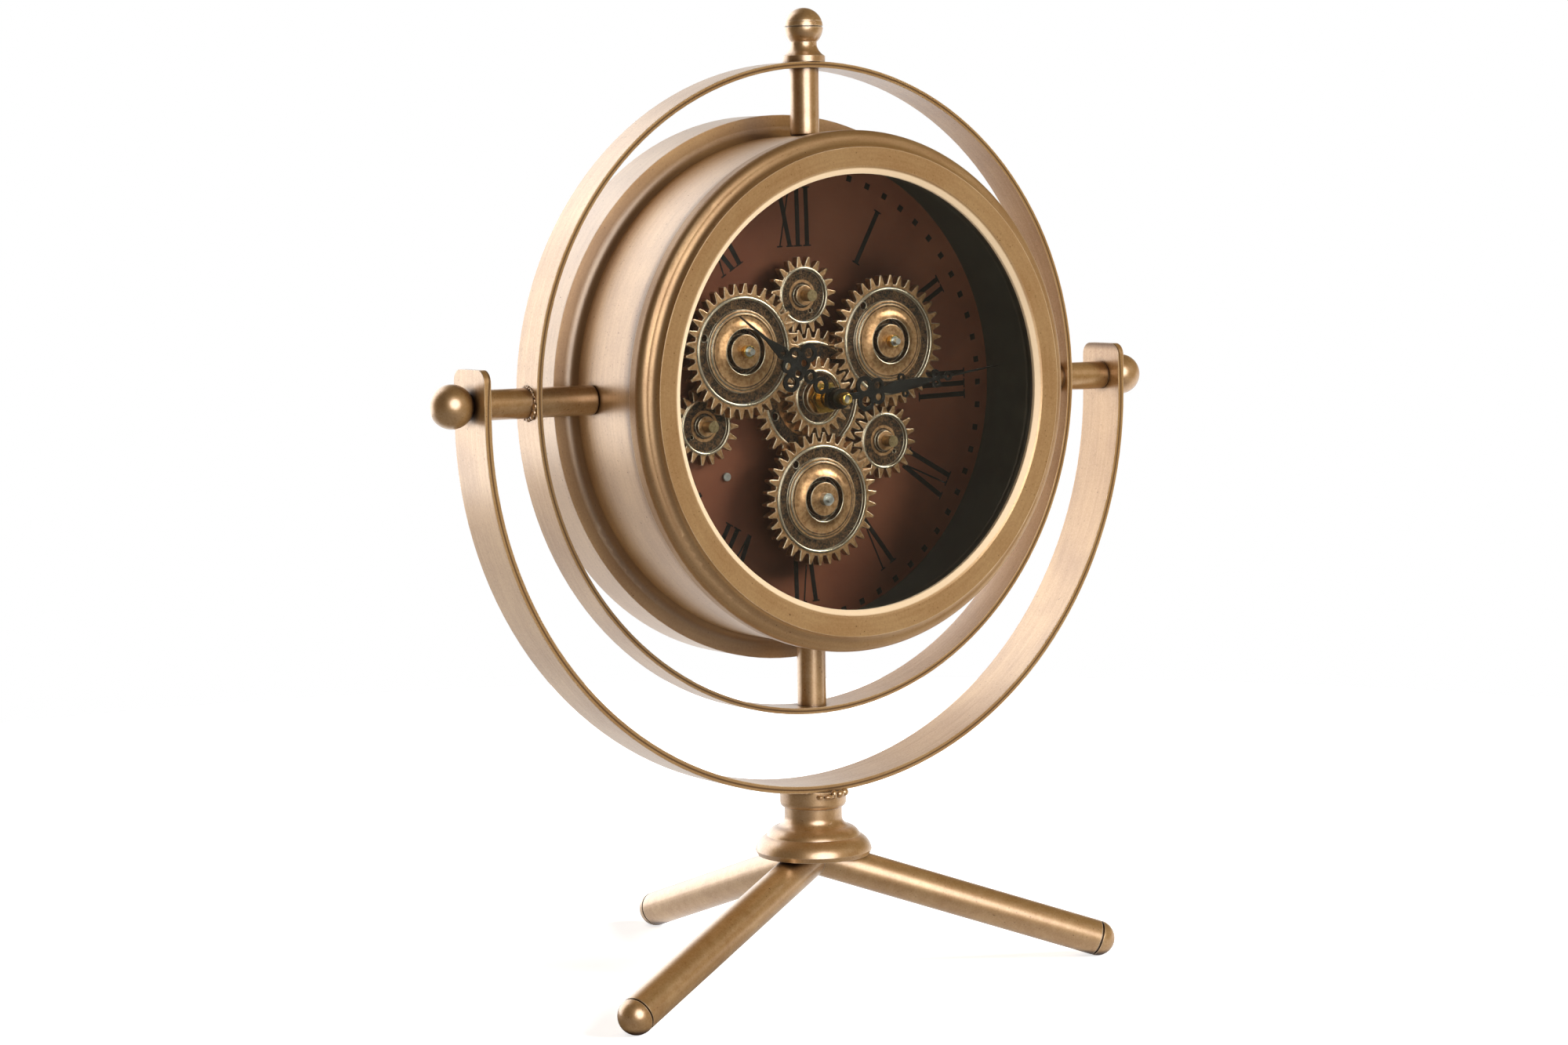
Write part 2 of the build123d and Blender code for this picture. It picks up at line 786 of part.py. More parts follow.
with BuildPart() as dial_tabs:
    for bearing in tab_bearings:
        with BuildSketch(facing(dial_rear + case_wall, z=gimbal_height, bearing=bearing)):
            with Locations((barrel_inner - tab_length / 2, 0)):
                Rectangle(tab_length, tab_width)
            Circle(barrel_inner, mode=Mode.INTERSECT)
        extrude(amount=case_wall)
keep(dial_tabs, "dial_tabs")

with BuildPart() as dial_screws:
    for bearing in dial_screw_bearings:
        x, z = polar(dial_screw_radius, bearing)
        with BuildSketch(facing(dial_front, x, z)):
            Circle(dial_screw_head / 2)
        extrude(amount=dial_screw_head_height)
        with BuildSketch(facing(dial_front, x, z)):
            Circle(dial_screw_diameter / 2)
        extrude(amount=-(dial_thickness + dial_screw_diameter))
keep(dial_screws, "dial_screws")

# Large gears: a toothed rim with a raised lip, a sunk ring, a stepped and domed boss and a grooved hub
for gear_name, (x, z) in large_places.items():
    root = root_radius(large_teeth)
    peep_radius = (root - gear_rim + large_boss_radius) / 2
    driven = gear_name == "bottom"
    bore_gap = seat_clearance if driven else running_clearance
    with BuildPart() as large_gear:
        with BuildSketch(facing(front_back, x, z)):
            toothed_disc(large_teeth, large_phases[gear_name])
        extrude(amount=front_layer)
        with BuildSketch(section(x, z)):
            with BuildLine():
                Polyline(
                    (0, front_back),
                    (large_boss_radius, front_back),
                    (large_boss_radius, front_face),
                    (large_step_radius, front_face),
                    (large_step_radius, step_face),
                    (large_dome_radius, step_face),
                )
                RadiusArc((large_dome_radius, step_face), (large_dome_inner, dome_face), -large_dome_round)
                Polyline((large_dome_inner, dome_face), (0, dome_face), (0, front_back))
            make_face()
        revolve(axis=turning_axis(x, z))
        with BuildSketch(facing(front_face + recess_depth, x, z)):
            Circle(root - gear_rim)
            Circle(large_boss_radius, mode=Mode.SUBTRACT)
        extrude(amount=recess_depth, mode=Mode.SUBTRACT)
        with BuildSketch(facing(front_face, x, z)):
            lip_ring(root - gear_rim)
        extrude(amount=gear_lip_height)
        with BuildSketch(facing(front_face + large_groove_depth, x, z)):
            Circle(large_dome_inner)
            Circle(large_hub_radius, mode=Mode.SUBTRACT)
        extrude(amount=large_groove_depth + large_dome_height, mode=Mode.SUBTRACT)
        with BuildSketch(facing(front_back, x, z)):
            Circle(large_pin_radius + bore_gap)
            with PolarLocations(peep_radius, 1, start_angle=large_peep_bearings[gear_name]):
                Circle(peep_hole_radius)
        extrude(amount=front_layer + large_dome_height, mode=Mode.SUBTRACT)
    keep(large_gear, gear_name + "_large_gear")

# Pinion behind the left large gear, with the sleeve that joins the two
left_x, left_z = large_places["left"]
with BuildPart() as left_pinion:
    with BuildSketch(facing(rear_back, left_x, left_z)):
        toothed_disc(left_pinion_teeth, left_pinion_phase)
    extrude(amount=rear_layer)
    with BuildSketch(facing(rear_face, left_x, left_z)):
        Circle(large_pin_radius + sleeve_wall)
    extrude(amount=rear_face - front_back)
    with BuildSketch(facing(rear_back, left_x, left_z)):
        Circle(large_pin_radius + running_clearance)
    extrude(amount=rear_back - front_back, mode=Mode.SUBTRACT)
keep(left_pinion, "left_pinion")

# Small gears: a toothed rim with a raised lip, a sunk face and a low hub
for gear_name, ((x, z), phase, back, thickness) in small_gears.items():
    inner_rim = root_radius(small_teeth) - gear_rim / 2
    peep_radius = (inner_rim + small_hub_radius) / 2
    with BuildPart() as small_gear:
        with BuildSketch(facing(back, x, z)):
            toothed_disc(small_teeth, phase)
        extrude(amount=thickness)
        with BuildSketch(facing(back - thickness + recess_depth, x, z)):
            Circle(inner_rim)
            Circle(small_hub_radius, mode=Mode.SUBTRACT)
        extrude(amount=recess_depth, mode=Mode.SUBTRACT)
        with BuildSketch(facing(back - thickness, x, z)):
            lip_ring(inner_rim)
        extrude(amount=gear_lip_height)
        with BuildSketch(facing(back - thickness, x, z)):
            Circle(small_hub_radius)
        extrude(amount=small_hub_height)
        with BuildSketch(facing(back, x, z)):
            Circle(small_pin_radius + running_clearance)
            with PolarLocations(peep_radius, 1, start_angle=small_peep_bearings[gear_name]):
                Circle(peep_hole_radius / 2)
        extrude(amount=thickness + small_hub_height, mode=Mode.SUBTRACT)
    keep(small_gear, gear_name)

# Centre gear: front pinion and rear wheel on one sleeve that runs on the bush
sleeve_radius = bush_radius + sleeve_wall
dial_nut_front = dial_front - dial_nut_height
with BuildPart() as centre_gear:
    with BuildSketch(facing(middle_back)):
        toothed_disc(wheel_teeth, 0)
    extrude(amount=middle_layer)
    with BuildSketch(facing(middle_face + recess_depth)):
        Circle(root_radius(wheel_teeth) - gear_rim)
        Circle(sleeve_radius, mode=Mode.SUBTRACT)
    extrude(amount=recess_depth, mode=Mode.SUBTRACT)
    with BuildSketch(facing(middle_face)):
        lip_ring(root_radius(wheel_teeth) - gear_rim)
    extrude(amount=gear_lip_height)
    with BuildSketch(facing(middle_back)):
        with PolarLocations(wheel_peep_radius, 1, start_angle=wheel_peep_bearing):
            Circle(peep_hole_radius)
    extrude(amount=middle_layer, mode=Mode.SUBTRACT)
    with BuildSketch(facing(front_back)):
        toothed_disc(pinion_teeth, 0)
    extrude(amount=front_layer)
    with BuildSketch(facing(front_face + recess_depth)):
        Circle(root_radius(pinion_teeth) - gear_rim)
        Circle(sleeve_radius, mode=Mode.SUBTRACT)
    extrude(amount=recess_depth, mode=Mode.SUBTRACT)
    with BuildSketch(facing(front_face)):
        lip_ring(root_radius(pinion_teeth) - gear_rim)
    extrude(amount=gear_lip_height)
    with BuildSketch(facing(dial_nut_front - end_play)):
        Circle(sleeve_radius)
    extrude(amount=dial_nut_front - end_play - centre_hub_face)
    with BuildSketch(facing(dial_nut_front)):
        Circle(bush_radius + running_clearance)
    extrude(amount=dial_nut_front - centre_hub_face + overrun, mode=Mode.SUBTRACT)
keep(centre_gear, "centre_gear")

# Gear pins: riveted to the dial, with a shoulder behind each gear
collet_back = dome_face - end_play
with BuildPart() as large_gear_pins:
    for (x, z), gear_back in [(large_places["right"], front_back), (large_places["left"], rear_back)]:
        with BuildSketch(facing(dial_rear, x, z)):
            Circle(large_pin_radius + pin_shoulder)
        extrude(amount=-pin_head_height)
        with BuildSketch(facing(dial_rear, x, z)):
            Circle(large_pin_radius)
        extrude(amount=dial_rear - collet_back + collet_length)
        with BuildSketch(facing(dial_front, x, z)):
            Circle(large_pin_radius + pin_shoulder)
        extrude(amount=dial_front - gear_back - end_play)
        with BuildSketch(facing(collet_back - collet_length, x, z)):
            Circle(pin_tip_diameter / 2)
        extrude(amount=pin_tip_length)
keep(large_gear_pins, "large_gear_pins")

with BuildPart() as large_gear_collets:
    for gear_name in ("right", "left"):
        with BuildSketch(facing(collet_back, *large_places[gear_name])):
            Circle(collet_diameter / 2)
            Circle(large_pin_radius + seat_clearance, mode=Mode.SUBTRACT)
        extrude(amount=collet_length)
keep(large_gear_collets, "large_gear_collets")

with BuildPart() as small_gear_pins:
    for (x, z), phase, back, thickness in small_gears.values():
        hub_face = back - thickness - small_hub_height
        with BuildSketch(facing(dial_rear, x, z)):
            Circle(small_pin_radius + pin_shoulder)
        extrude(amount=-pin_head_height)
        with BuildSketch(facing(dial_rear, x, z)):
            Circle(small_pin_radius)
        extrude(amount=dial_rear - hub_face + end_play + small_cap_length / 2)
        with BuildSketch(facing(dial_front, x, z)):
            Circle(small_pin_radius + pin_shoulder)
        extrude(amount=dial_front - back - end_play)
keep(small_gear_pins, "small_gear_pins")

with BuildPart() as small_gear_caps:
    for (x, z), phase, back, thickness in small_gears.values():
        hub_face = back - thickness - small_hub_height
        with BuildSketch(facing(hub_face - end_play, x, z)):
            Circle(small_cap_diameter / 2)
        extrude(amount=small_cap_length)
        with BuildSketch(facing(hub_face - end_play, x, z)):
            Circle(small_pin_radius + seat_clearance)
        extrude(amount=small_cap_length / 2 + seat_clearance, mode=Mode.SUBTRACT)
keep(small_gear_caps, "small_gear_caps")

# Drive: gear motor behind the dial and the shaft that carries the bottom large gear
drive_x, drive_z = large_places["bottom"]
motor_middle = movement_front + motor_depth / 2
motor_top = arbor_height - movement_side / 2 - motor_gap
can_start = drive_x + motor_width / 2
shaft_depth = motor_depth / 2
with BuildPart() as gear_motor:
    with BuildSketch(facing(movement_front + motor_depth, drive_x, motor_top)):
        Rectangle(motor_width, motor_height, align=(Align.CENTER, Align.MAX))
    extrude(amount=motor_depth)
    with BuildSketch(Plane(origin=(can_start, motor_middle, drive_z), x_dir=(0, 1, 0), z_dir=(1, 0, 0))):
        Circle(can_diameter / 2)
    extrude(amount=can_length)
    with BuildSketch(facing(movement_front, drive_x, drive_z)):
        Circle(large_pin_radius + running_clearance)
    extrude(amount=-shaft_depth - end_play, mode=Mode.SUBTRACT)
keep(gear_motor, "gear_motor")

with BuildPart() as drive_shaft:
    with BuildSketch(facing(movement_front + shaft_depth, drive_x, drive_z)):
        Circle(large_pin_radius)
    extrude(amount=movement_front + shaft_depth - dome_face)
    with BuildSketch(facing(dome_face, drive_x, drive_z)):
        Circle(collet_diameter / 2)
    extrude(amount=collet_length + end_play)
    with BuildSketch(facing(collet_back - collet_length, drive_x, drive_z)):
        Circle(pin_tip_diameter / 2)
    extrude(amount=pin_tip_length)
keep(drive_shaft, "drive_shaft")

# Quartz movement: case, bush, nuts, hour tube and minute arbor
hour_tube_radius = hour_tube_diameter / 2
arbor_radius = arbor_diameter / 2
tube_end_depth = movement_front + tube_in_movement
slot_length = cell_length + 2 * (contact_thickness + cell_clearance)
knob_x, knob_z = polar(knob_distance, knob_bearing)
with BuildPart() as movement_case:
    with BuildSketch(facing(movement_rear)):
        Rectangle(movement_side, movement_side)
    extrude(amount=movement_depth)
    with BuildSketch(facing(movement_front)):
        Circle(bush_radius + seat_clearance)
    extrude(amount=-bush_in_movement, mode=Mode.SUBTRACT)
    with BuildSketch(facing(movement_front)):
        Circle(hour_tube_radius + running_clearance)
    extrude(amount=-tube_in_movement - end_play, mode=Mode.SUBTRACT)
    with BuildSketch(facing(movement_front)):
        Circle(arbor_radius + running_clearance)
    extrude(amount=-tube_in_movement - bush_in_movement - end_play, mode=Mode.SUBTRACT)
    with BuildSketch(facing(movement_rear)):
        with Locations((0, -cell_drop)):
            Rectangle(slot_length, cell_diameter + 2 * cell_clearance)
    extrude(amount=cell_diameter + cell_clearance, mode=Mode.SUBTRACT)
    with BuildSketch(facing(movement_rear, knob_x, knob_z)):
        Circle(set_shaft_diameter / 2 + running_clearance)
    extrude(amount=set_shaft_length + end_play, mode=Mode.SUBTRACT)
keep(movement_case, "movement_case")

with BuildPart() as movement_bush:
    with BuildSketch(facing(movement_front + bush_in_movement)):
        Circle(bush_radius)
        Circle(hour_tube_radius + running_clearance, mode=Mode.SUBTRACT)
    extrude(amount=movement_front + bush_in_movement + bush_front)
keep(movement_bush, "movement_bush")

nut_seats = ((dial_front, dial_nut_height), (centre_hub_face - end_play, gear_nut_height))
with BuildPart() as bush_nuts:
    for nut_back, nut_height in nut_seats:
        with BuildSketch(facing(nut_back)):
            RegularPolygon(nut_width / 2, 6, major_radius=False)
            Circle(bush_radius + seat_clearance, mode=Mode.SUBTRACT)
        extrude(amount=nut_height)
keep(bush_nuts, "bush_nuts")

with BuildPart() as hour_tube:
    with BuildSketch(facing(tube_end_depth)):
        Circle(hour_tube_radius)
        Circle(tube_bore_radius, mode=Mode.SUBTRACT)
    extrude(amount=tube_end_depth + hour_tube_front)
keep(hour_tube, "hour_tube")

with BuildPart() as minute_arbor:
    with BuildSketch(facing(tube_end_depth + bush_in_movement)):
        Circle(arbor_radius)
    extrude(amount=tube_end_depth + bush_in_movement + arbor_front)
keep(minute_arbor, "minute_arbor")

with BuildPart() as cap_nut:
    with BuildSketch(facing(-minute_hand_front)):
        Circle(cap_nut_diameter / 2)
    extrude(amount=cap_nut_length)
    fillet(cap_nut.faces().sort_by(Axis.Y)[0].edges(), radius=cap_nut_diameter / 4)
    with BuildSketch(facing(-minute_hand_front)):
        Circle(arbor_radius + seat_clearance)
    extrude(amount=cap_nut_length, mode=Mode.SUBTRACT)
keep(cap_nut, "cap_nut")

# Hands: flat pierced plates; rings and bars are placed in shares of each hand's length
hour_ring_shares = (
    (0.16, 0.0, 0.062, 0.034),
    (0.27, 0.0, 0.052, 0.026),
    (0.38, 0.125, 0.068, 0.036),
    (0.38, -0.125, 0.068, 0.036),
    (0.37, 0.045, 0.052, 0.026),
    (0.37, -0.045, 0.052, 0.026),
    (0.47, 0.05, 0.052, 0.026),
    (0.47, -0.05, 0.052, 0.026),
    (0.56, 0.0, 0.046, 0.022),
)
hour_bar_shares = (
    (0.0, 0.022), (0.3, 0.016), (0.5, 0.03), (0.56, 0.044), (0.64, 0.03), (0.72, 0.012), (1.0, 0.004),
)
minute_ring_shares = (
    (0.15, 0.04, 0.05, 0.027),
    (0.15, -0.04, 0.05, 0.027),
    (0.23, 0.03, 0.038, 0.019),
    (0.23, -0.03, 0.038, 0.019),
    (0.385, 0.042, 0.022, 0.01),
    (0.4, -0.042, 0.02, 0.009),
    (0.6, 0.022, 0.026, 0.012),
    (0.6, -0.022, 0.026, 0.012),
    (0.68, 0.0, 0.024, 0.011),
)
minute_bar_shares = ((0.0, 0.018), (0.26, 0.014), (0.32, 0.032), (0.5, 0.024), (0.58, 0.008), (1.0, 0.003))
hands = {
    "hour_hand": (
        hour_hand_length, hour_hand_bearing, hour_hand_front, hour_hub_radius,
        hour_tube_radius, hour_ring_shares, hour_bar_shares,
    ),
    "minute_hand": (
        minute_hand_length, minute_hand_bearing, minute_hand_front, minute_hub_radius,
        arbor_radius, minute_ring_shares, minute_bar_shares,
    ),
}
for hand_name, (length, bearing, front, hub, shaft, ring_shares, bar_shares) in hands.items():
    upper = [(along * length, half * length) for along, half in bar_shares]
    lower = [(along, -half) for along, half in reversed(upper)]
    with BuildPart() as hand:
        with BuildSketch(facing(hand_thickness - front, bearing=bearing)):
            Polygon(*upper, *lower, align=None)
            Circle(hub)
            for along, across, outer, hole in ring_shares:
                with Locations((along * length, across * length)):
                    Circle(outer * length)
            for along, across, outer, hole in ring_shares:
                with Locations((along * length, across * length)):
                    Circle(hole * length, mode=Mode.SUBTRACT)
        extrude(amount=hand_thickness)
        with BuildSketch(facing(hand_thickness - front)):
            Circle(hub)
        extrude(amount=-(hand_collar_length - hand_thickness))
        with BuildSketch(facing(hand_collar_length - front)):
            Circle(shaft + seat_clearance)
        extrude(amount=hand_collar_length, mode=Mode.SUBTRACT)
    keep(hand, hand_name)

# Setting knob behind the movement
with BuildPart() as set_knob:
    with BuildSketch(facing(movement_rear + set_knob_gap + set_knob_length, knob_x, knob_z)):
        Circle(set_knob_diameter / 2)
    extrude(amount=set_knob_length)
    with BuildSketch(facing(movement_rear + set_knob_gap, knob_x, knob_z)):
        Circle(set_shaft_diameter / 2)
    extrude(amount=set_knob_gap + set_shaft_length)
keep(set_knob, "set_knob")

# Battery box for the two cells that feed the gear motor
cell_radius = cell_diameter / 2
box_inner_width = 2 * cell_pitch
box_depth = box_wall + cell_diameter + 2 * cell_clearance
box_rear = movement_front + box_depth
box_cell_depth = movement_front + box_wall + cell_clearance + cell_radius
with BuildPart() as battery_box:
    with BuildSketch(facing(box_rear, x=box_distance)):
        Rectangle(box_inner_width + 2 * box_wall, slot_length + 2 * box_wall)
    extrude(amount=box_depth)
    with BuildSketch(facing(box_rear, x=box_distance)):
        Rectangle(box_inner_width, slot_length)
    extrude(amount=box_depth - box_wall, mode=Mode.SUBTRACT)
keep(battery_box, "battery_box")

# Three cells: one lies across the movement, two stand head to tail in the battery box
body_length = cell_length - cell_nub_length
cell_depth = movement_rear - cell_radius
box_cell_places = (box_distance - cell_pitch / 2, box_distance + cell_pitch / 2)
cell_seats = [Plane(origin=(-cell_length / 2, cell_depth, arbor_height - cell_drop),
                    x_dir=(0, 1, 0), z_dir=(1, 0, 0))]
for x, up in zip(box_cell_places, (1, -1)):
    cell_seats.append(Plane(origin=(x, box_cell_depth, arbor_height - up * cell_length / 2),
                            x_dir=(1, 0, 0), z_dir=(0, 0, up)))
with BuildPart() as cells:
    for bottom in cell_seats:
        with BuildSketch(bottom):
            Circle(cell_radius)
        extrude(amount=body_length)
        with BuildSketch(bottom.offset(body_length)):
            Circle(cell_nub_diameter / 2)
        extrude(amount=cell_nub_length)
keep(cells, "cells")

contact_reach = slot_length / 2 - contact_thickness / 2
with BuildPart() as cell_contacts:
    for end in (-1, 1):
        with Locations((end * contact_reach, cell_depth, arbor_height - cell_drop)):
            Box(contact_thickness, contact_size, contact_size)
        for x in box_cell_places:
            with Locations((x, box_cell_depth, arbor_height + end * contact_reach)):
                Box(contact_size, contact_size, contact_thickness)
keep(cell_contacts, "cell_contacts")

# Leads from the battery box down to the motor
with BuildPart() as motor_leads:
    for side in (-1, 1):
        lead_x = can_start + can_length + lead_bend_radius + lead_diameter + (side + 1) * lead_gap / 2
        lead_z = drive_z - side * lead_gap / 2
        box_bottom = arbor_height - slot_length / 2 - box_wall
        with BuildLine() as lead_path:
            FilletPolyline(
                (lead_x, motor_middle, box_bottom),
                (lead_x, motor_middle, lead_z),
                (can_start + can_length, motor_middle, lead_z),
                radius=lead_bend_radius,
            )
        with BuildSketch(Plane(origin=(lead_x, motor_middle, box_bottom), z_dir=(0, 0, -1))):
            Circle(lead_diameter / 2)
        sweep(path=lead_path.wires()[0])
keep(motor_leads, "motor_leads")

# Back cover with its screws, and the slide switch fixed behind it
cover_radius = band_inner - cover_gap
screw_ring = band_inner - ledge_reach / 2
channel_height = slider_height + slider_travel + 2 * slider_clearance
channel_width = slider_width + 2 * slider_clearance
with BuildPart() as back_cover:
    with BuildSketch(facing(cover_rear, z=gimbal_height)):
        Circle(cover_radius)
        with PolarLocations(screw_ring, cover_screw_count):
            Circle(cover_screw_diameter / 2 + seat_clearance, mode=Mode.SUBTRACT)
    extrude(amount=cover_thickness)
    with BuildSketch(facing(cover_rear, knob_x, knob_z)):
        Circle(set_knob_diameter / 2 + set_hole_clearance)
    extrude(amount=cover_thickness, mode=Mode.SUBTRACT)
    with BuildSketch(facing(cover_rear, x=box_distance)):
        Rectangle(channel_width, channel_height)
    extrude(amount=cover_thickness, mode=Mode.SUBTRACT)
keep(back_cover, "back_cover")

with BuildPart() as cover_screws:
    for number in range(cover_screw_count):
        x, z = polar(screw_ring, 360 * number / cover_screw_count, 0, gimbal_height)
        with BuildSketch(facing(cover_rear, x, z)):
            Circle(cover_screw_head / 2)
        extrude(amount=-cover_screw_head_height)
        with BuildSketch(facing(cover_rear, x, z)):
            Circle(cover_screw_diameter / 2)
        extrude(amount=cover_thickness + case_wall + cover_screw_diameter)
keep(cover_screws, "cover_screws")

with BuildPart() as switch_body:
    with BuildSketch(facing(ledge_rear, x=box_distance)):
        Rectangle(switch_width, switch_height)
    extrude(amount=switch_depth)
    with BuildSketch(facing(ledge_rear, x=box_distance)):
        Rectangle(channel_width, channel_height)
    extrude(amount=slider_root + slider_clearance, mode=Mode.SUBTRACT)
keep(switch_body, "switch_body")

with BuildPart() as switch_slider:
    with BuildSketch(facing(cover_rear + slider_stand, x=box_distance)):
        with Locations((0, -slider_travel / 2)):
            Rectangle(slider_width, slider_height)
    extrude(amount=slider_stand + cover_thickness + slider_root)
keep(switch_slider, "switch_slider")
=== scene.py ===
# %% [markdown]
# # Table clock with show gears
# The clock is a round case with a dark dial and turning gears behind glass. A ring holds the case, and the
# ring tilts between the arms of a yoke on three legs. The solid pieces come from the imported model, so this
# lesson only dresses them: it gives every piece its finish and adds the printing and the welds.

import json
from math import cos, pi, radians, sin

import bmesh
import bpy
from mathutils import Matrix, Vector


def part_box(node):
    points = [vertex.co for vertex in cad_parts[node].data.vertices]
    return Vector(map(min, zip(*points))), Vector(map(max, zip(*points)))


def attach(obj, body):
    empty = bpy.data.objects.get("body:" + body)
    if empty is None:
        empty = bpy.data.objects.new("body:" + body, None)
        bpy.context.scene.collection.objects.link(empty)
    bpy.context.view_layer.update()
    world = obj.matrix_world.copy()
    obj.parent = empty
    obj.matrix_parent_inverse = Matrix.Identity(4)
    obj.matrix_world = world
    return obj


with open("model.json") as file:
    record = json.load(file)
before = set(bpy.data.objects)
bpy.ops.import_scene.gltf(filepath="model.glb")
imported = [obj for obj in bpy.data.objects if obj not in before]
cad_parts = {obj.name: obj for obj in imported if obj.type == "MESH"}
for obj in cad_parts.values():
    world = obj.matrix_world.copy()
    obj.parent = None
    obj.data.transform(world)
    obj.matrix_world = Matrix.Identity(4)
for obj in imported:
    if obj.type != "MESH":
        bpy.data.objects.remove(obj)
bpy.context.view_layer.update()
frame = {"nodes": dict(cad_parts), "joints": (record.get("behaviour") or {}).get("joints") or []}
nodes = frame["nodes"]
MM = 0.001

# %% [markdown]
# Colours are written as the hex values that a paint chart or a photo shows. Blender works in linear light,
# so one function turns them. A second function adds a node to any tree, sets its inputs and joins its
# sockets. A third starts a material and hands back coordinates in millimetres, so each pattern's scale is
# one over a real size.

# %% Colours and nodes
def hex_colour(code):
    """Linear colour of an sRGB hex value."""
    channels = [int(code[i:i + 2], 16) / 255 for i in (1, 3, 5)]
    return [c / 12.92 if c <= 0.04045 else ((c + 0.055) / 1.055) ** 2.4 for c in channels] + [1.0]


def add(tree, kind, inputs=None, **settings):
    """Add a node; an input takes either a value or another node's output."""
    node = tree.nodes.new(kind)
    for name, value in settings.items():
        setattr(node, name, value)
    for key, value in (inputs or {}).items():
        if isinstance(value, bpy.types.NodeSocket):
            tree.links.new(value, node.inputs[key])
        else:
            node.inputs[key].default_value = value
    return node


def start_finish(name):
    """A new material, its tree, its shader and object coordinates in millimetres."""
    material = bpy.data.materials.new(name)
    material.use_nodes = True
    tree = material.node_tree
    shader = tree.nodes["Principled BSDF"]
    place = add(tree, "ShaderNodeTexCoord").outputs["Object"]
    mm = add(tree, "ShaderNodeVectorMath", {0: place, "Scale": 1 / MM}, operation="SCALE").outputs[0]
    return material, tree, shader, mm


def dress(material, *names):
    """Give CAD pieces a finish."""
    for name in names:
        mesh = nodes[name].data
        mesh.materials.clear()
        mesh.materials.append(material)
    print(material.name, "on", len(names), "pieces")


# %% [markdown]
# The camera stands where the photographer stood: a little above the tilt axis and 34 degrees round to the
# left, with a long lens. Its place was solved from the ring, the yoke and the feet, so it is written as
# angles and a distance from the clock's centre.

# %% Camera
GIMBAL = Vector((0, 0, 0.245))
azimuth, elevation, roll = radians(-34.43), radians(5.26), radians(-0.76)
back = Vector((sin(azimuth) * cos(elevation), -cos(azimuth) * cos(elevation), sin(elevation)))
level = Vector((cos(azimuth), sin(azimuth), 0))
above = back.cross(level)
side = cos(roll) * level + sin(roll) * above
crown = cos(roll) * above - sin(roll) * level
camera_data = bpy.data.cameras.new("photo_camera")
camera_data.sensor_width = 36
camera_data.lens = 78.22
camera = bpy.data.objects.new("photo_camera", camera_data)
shot_distance = 1.40626
spot = GIMBAL + back * shot_distance - level * 0.01059 - above * 0.05486
camera.matrix_world = Matrix.Translation(spot) @ Matrix((side, crown, back)).transposed().to_4x4()
bpy.context.scene.collection.objects.link(camera)
bpy.context.scene.camera = camera
bpy.context.scene.view_settings.view_transform = "Standard"
print("camera", round(shot_distance, 3), "m from the clock")

# %% [markdown]
# The photo was taken on a white sweep. The world is plain white to the camera and through the glass. In
# reflections the white paper lies behind the clock, brightest on the left, and the room in front and above
# on the right is dim: that is why the case's sides shine and its face stays warm.

# %% World
world = bpy.data.worlds.new("white_sweep")
bpy.context.scene.world = world
world.use_nodes = True
tree = world.node_tree
tree.nodes.clear()
light_path = add(tree, "ShaderNodeLightPath").outputs
direction = add(tree, "ShaderNodeTexCoord").outputs["Generated"]
ahead = add(tree, "ShaderNodeVectorMath", {0: direction, 1: -back}, operation="DOT_PRODUCT").outputs["Value"]
paper = add(tree, "ShaderNodeMapRange", {"Value": ahead, "From Min": 0.0, "From Max": 0.32},
            interpolation_type="SMOOTHSTEP").outputs[0]
leftward = add(tree, "ShaderNodeVectorMath", {0: direction, 1: -level},
               operation="DOT_PRODUCT").outputs["Value"]
panel = add(tree, "ShaderNodeMapRange", {
    "Value": leftward, "From Min": 0.0, "From Max": 0.6, "To Min": 1.0, "To Max": 2.9}).outputs[0]
upward = add(tree, "ShaderNodeVectorMath", {0: direction, 1: (0.6, 0, 0.8)},
             operation="DOT_PRODUCT").outputs["Value"]
shade = add(tree, "ShaderNodeMapRange", {"Value": upward, "From Min": 0.85, "From Max": 0.45},
            interpolation_type="SMOOTHSTEP").outputs[0]
paper = add(tree, "ShaderNodeMath", {0: paper, 1: shade}, operation="MULTIPLY").outputs[0]
studio = add(tree, "ShaderNodeMix", {0: paper, 2: 0.12, 3: panel}).outputs[0]
spread = add(tree, "ShaderNodeMath", {0: studio, 1: 0.4, 2: 0.12}, operation="MULTIPLY_ADD").outputs[0]
ambient = add(tree, "ShaderNodeMix", {0: light_path["Is Diffuse Ray"], 2: studio, 3: spread}).outputs[0]
through = add(tree, "ShaderNodeMath", {0: light_path["Is Transmission Ray"], 1: paper},
              operation="MULTIPLY").outputs[0]
seen = add(tree, "ShaderNodeMath", {0: light_path["Is Camera Ray"], 1: through},
           operation="MAXIMUM").outputs[0]
strength = add(tree, "ShaderNodeMix", {0: seen, 2: ambient, 3: 1.0}).outputs[0]
white = add(tree, "ShaderNodeMath", {0: paper, 1: seen}, operation="MAXIMUM").outputs[0]
tint = add(tree, "ShaderNodeMix", {0: white, 6: hex_colour("#ffe3c0"), 7: hex_colour("#ffffff")},
           data_type="RGBA")
shell = add(tree, "ShaderNodeBackground", {"Color": tint.outputs[2], "Strength": strength})
add(tree, "ShaderNodeOutputWorld", {"Surface": shell.outputs[0]})
print("world", world.name)

# %% [markdown]
# The floor is a round sheet of white paper. To the camera it glows into the white background away from the
# feet, so that only a soft shade is left under them. In reflections it is bright behind the clock and grey
# in front of it, as the photo's balls and tubes show.

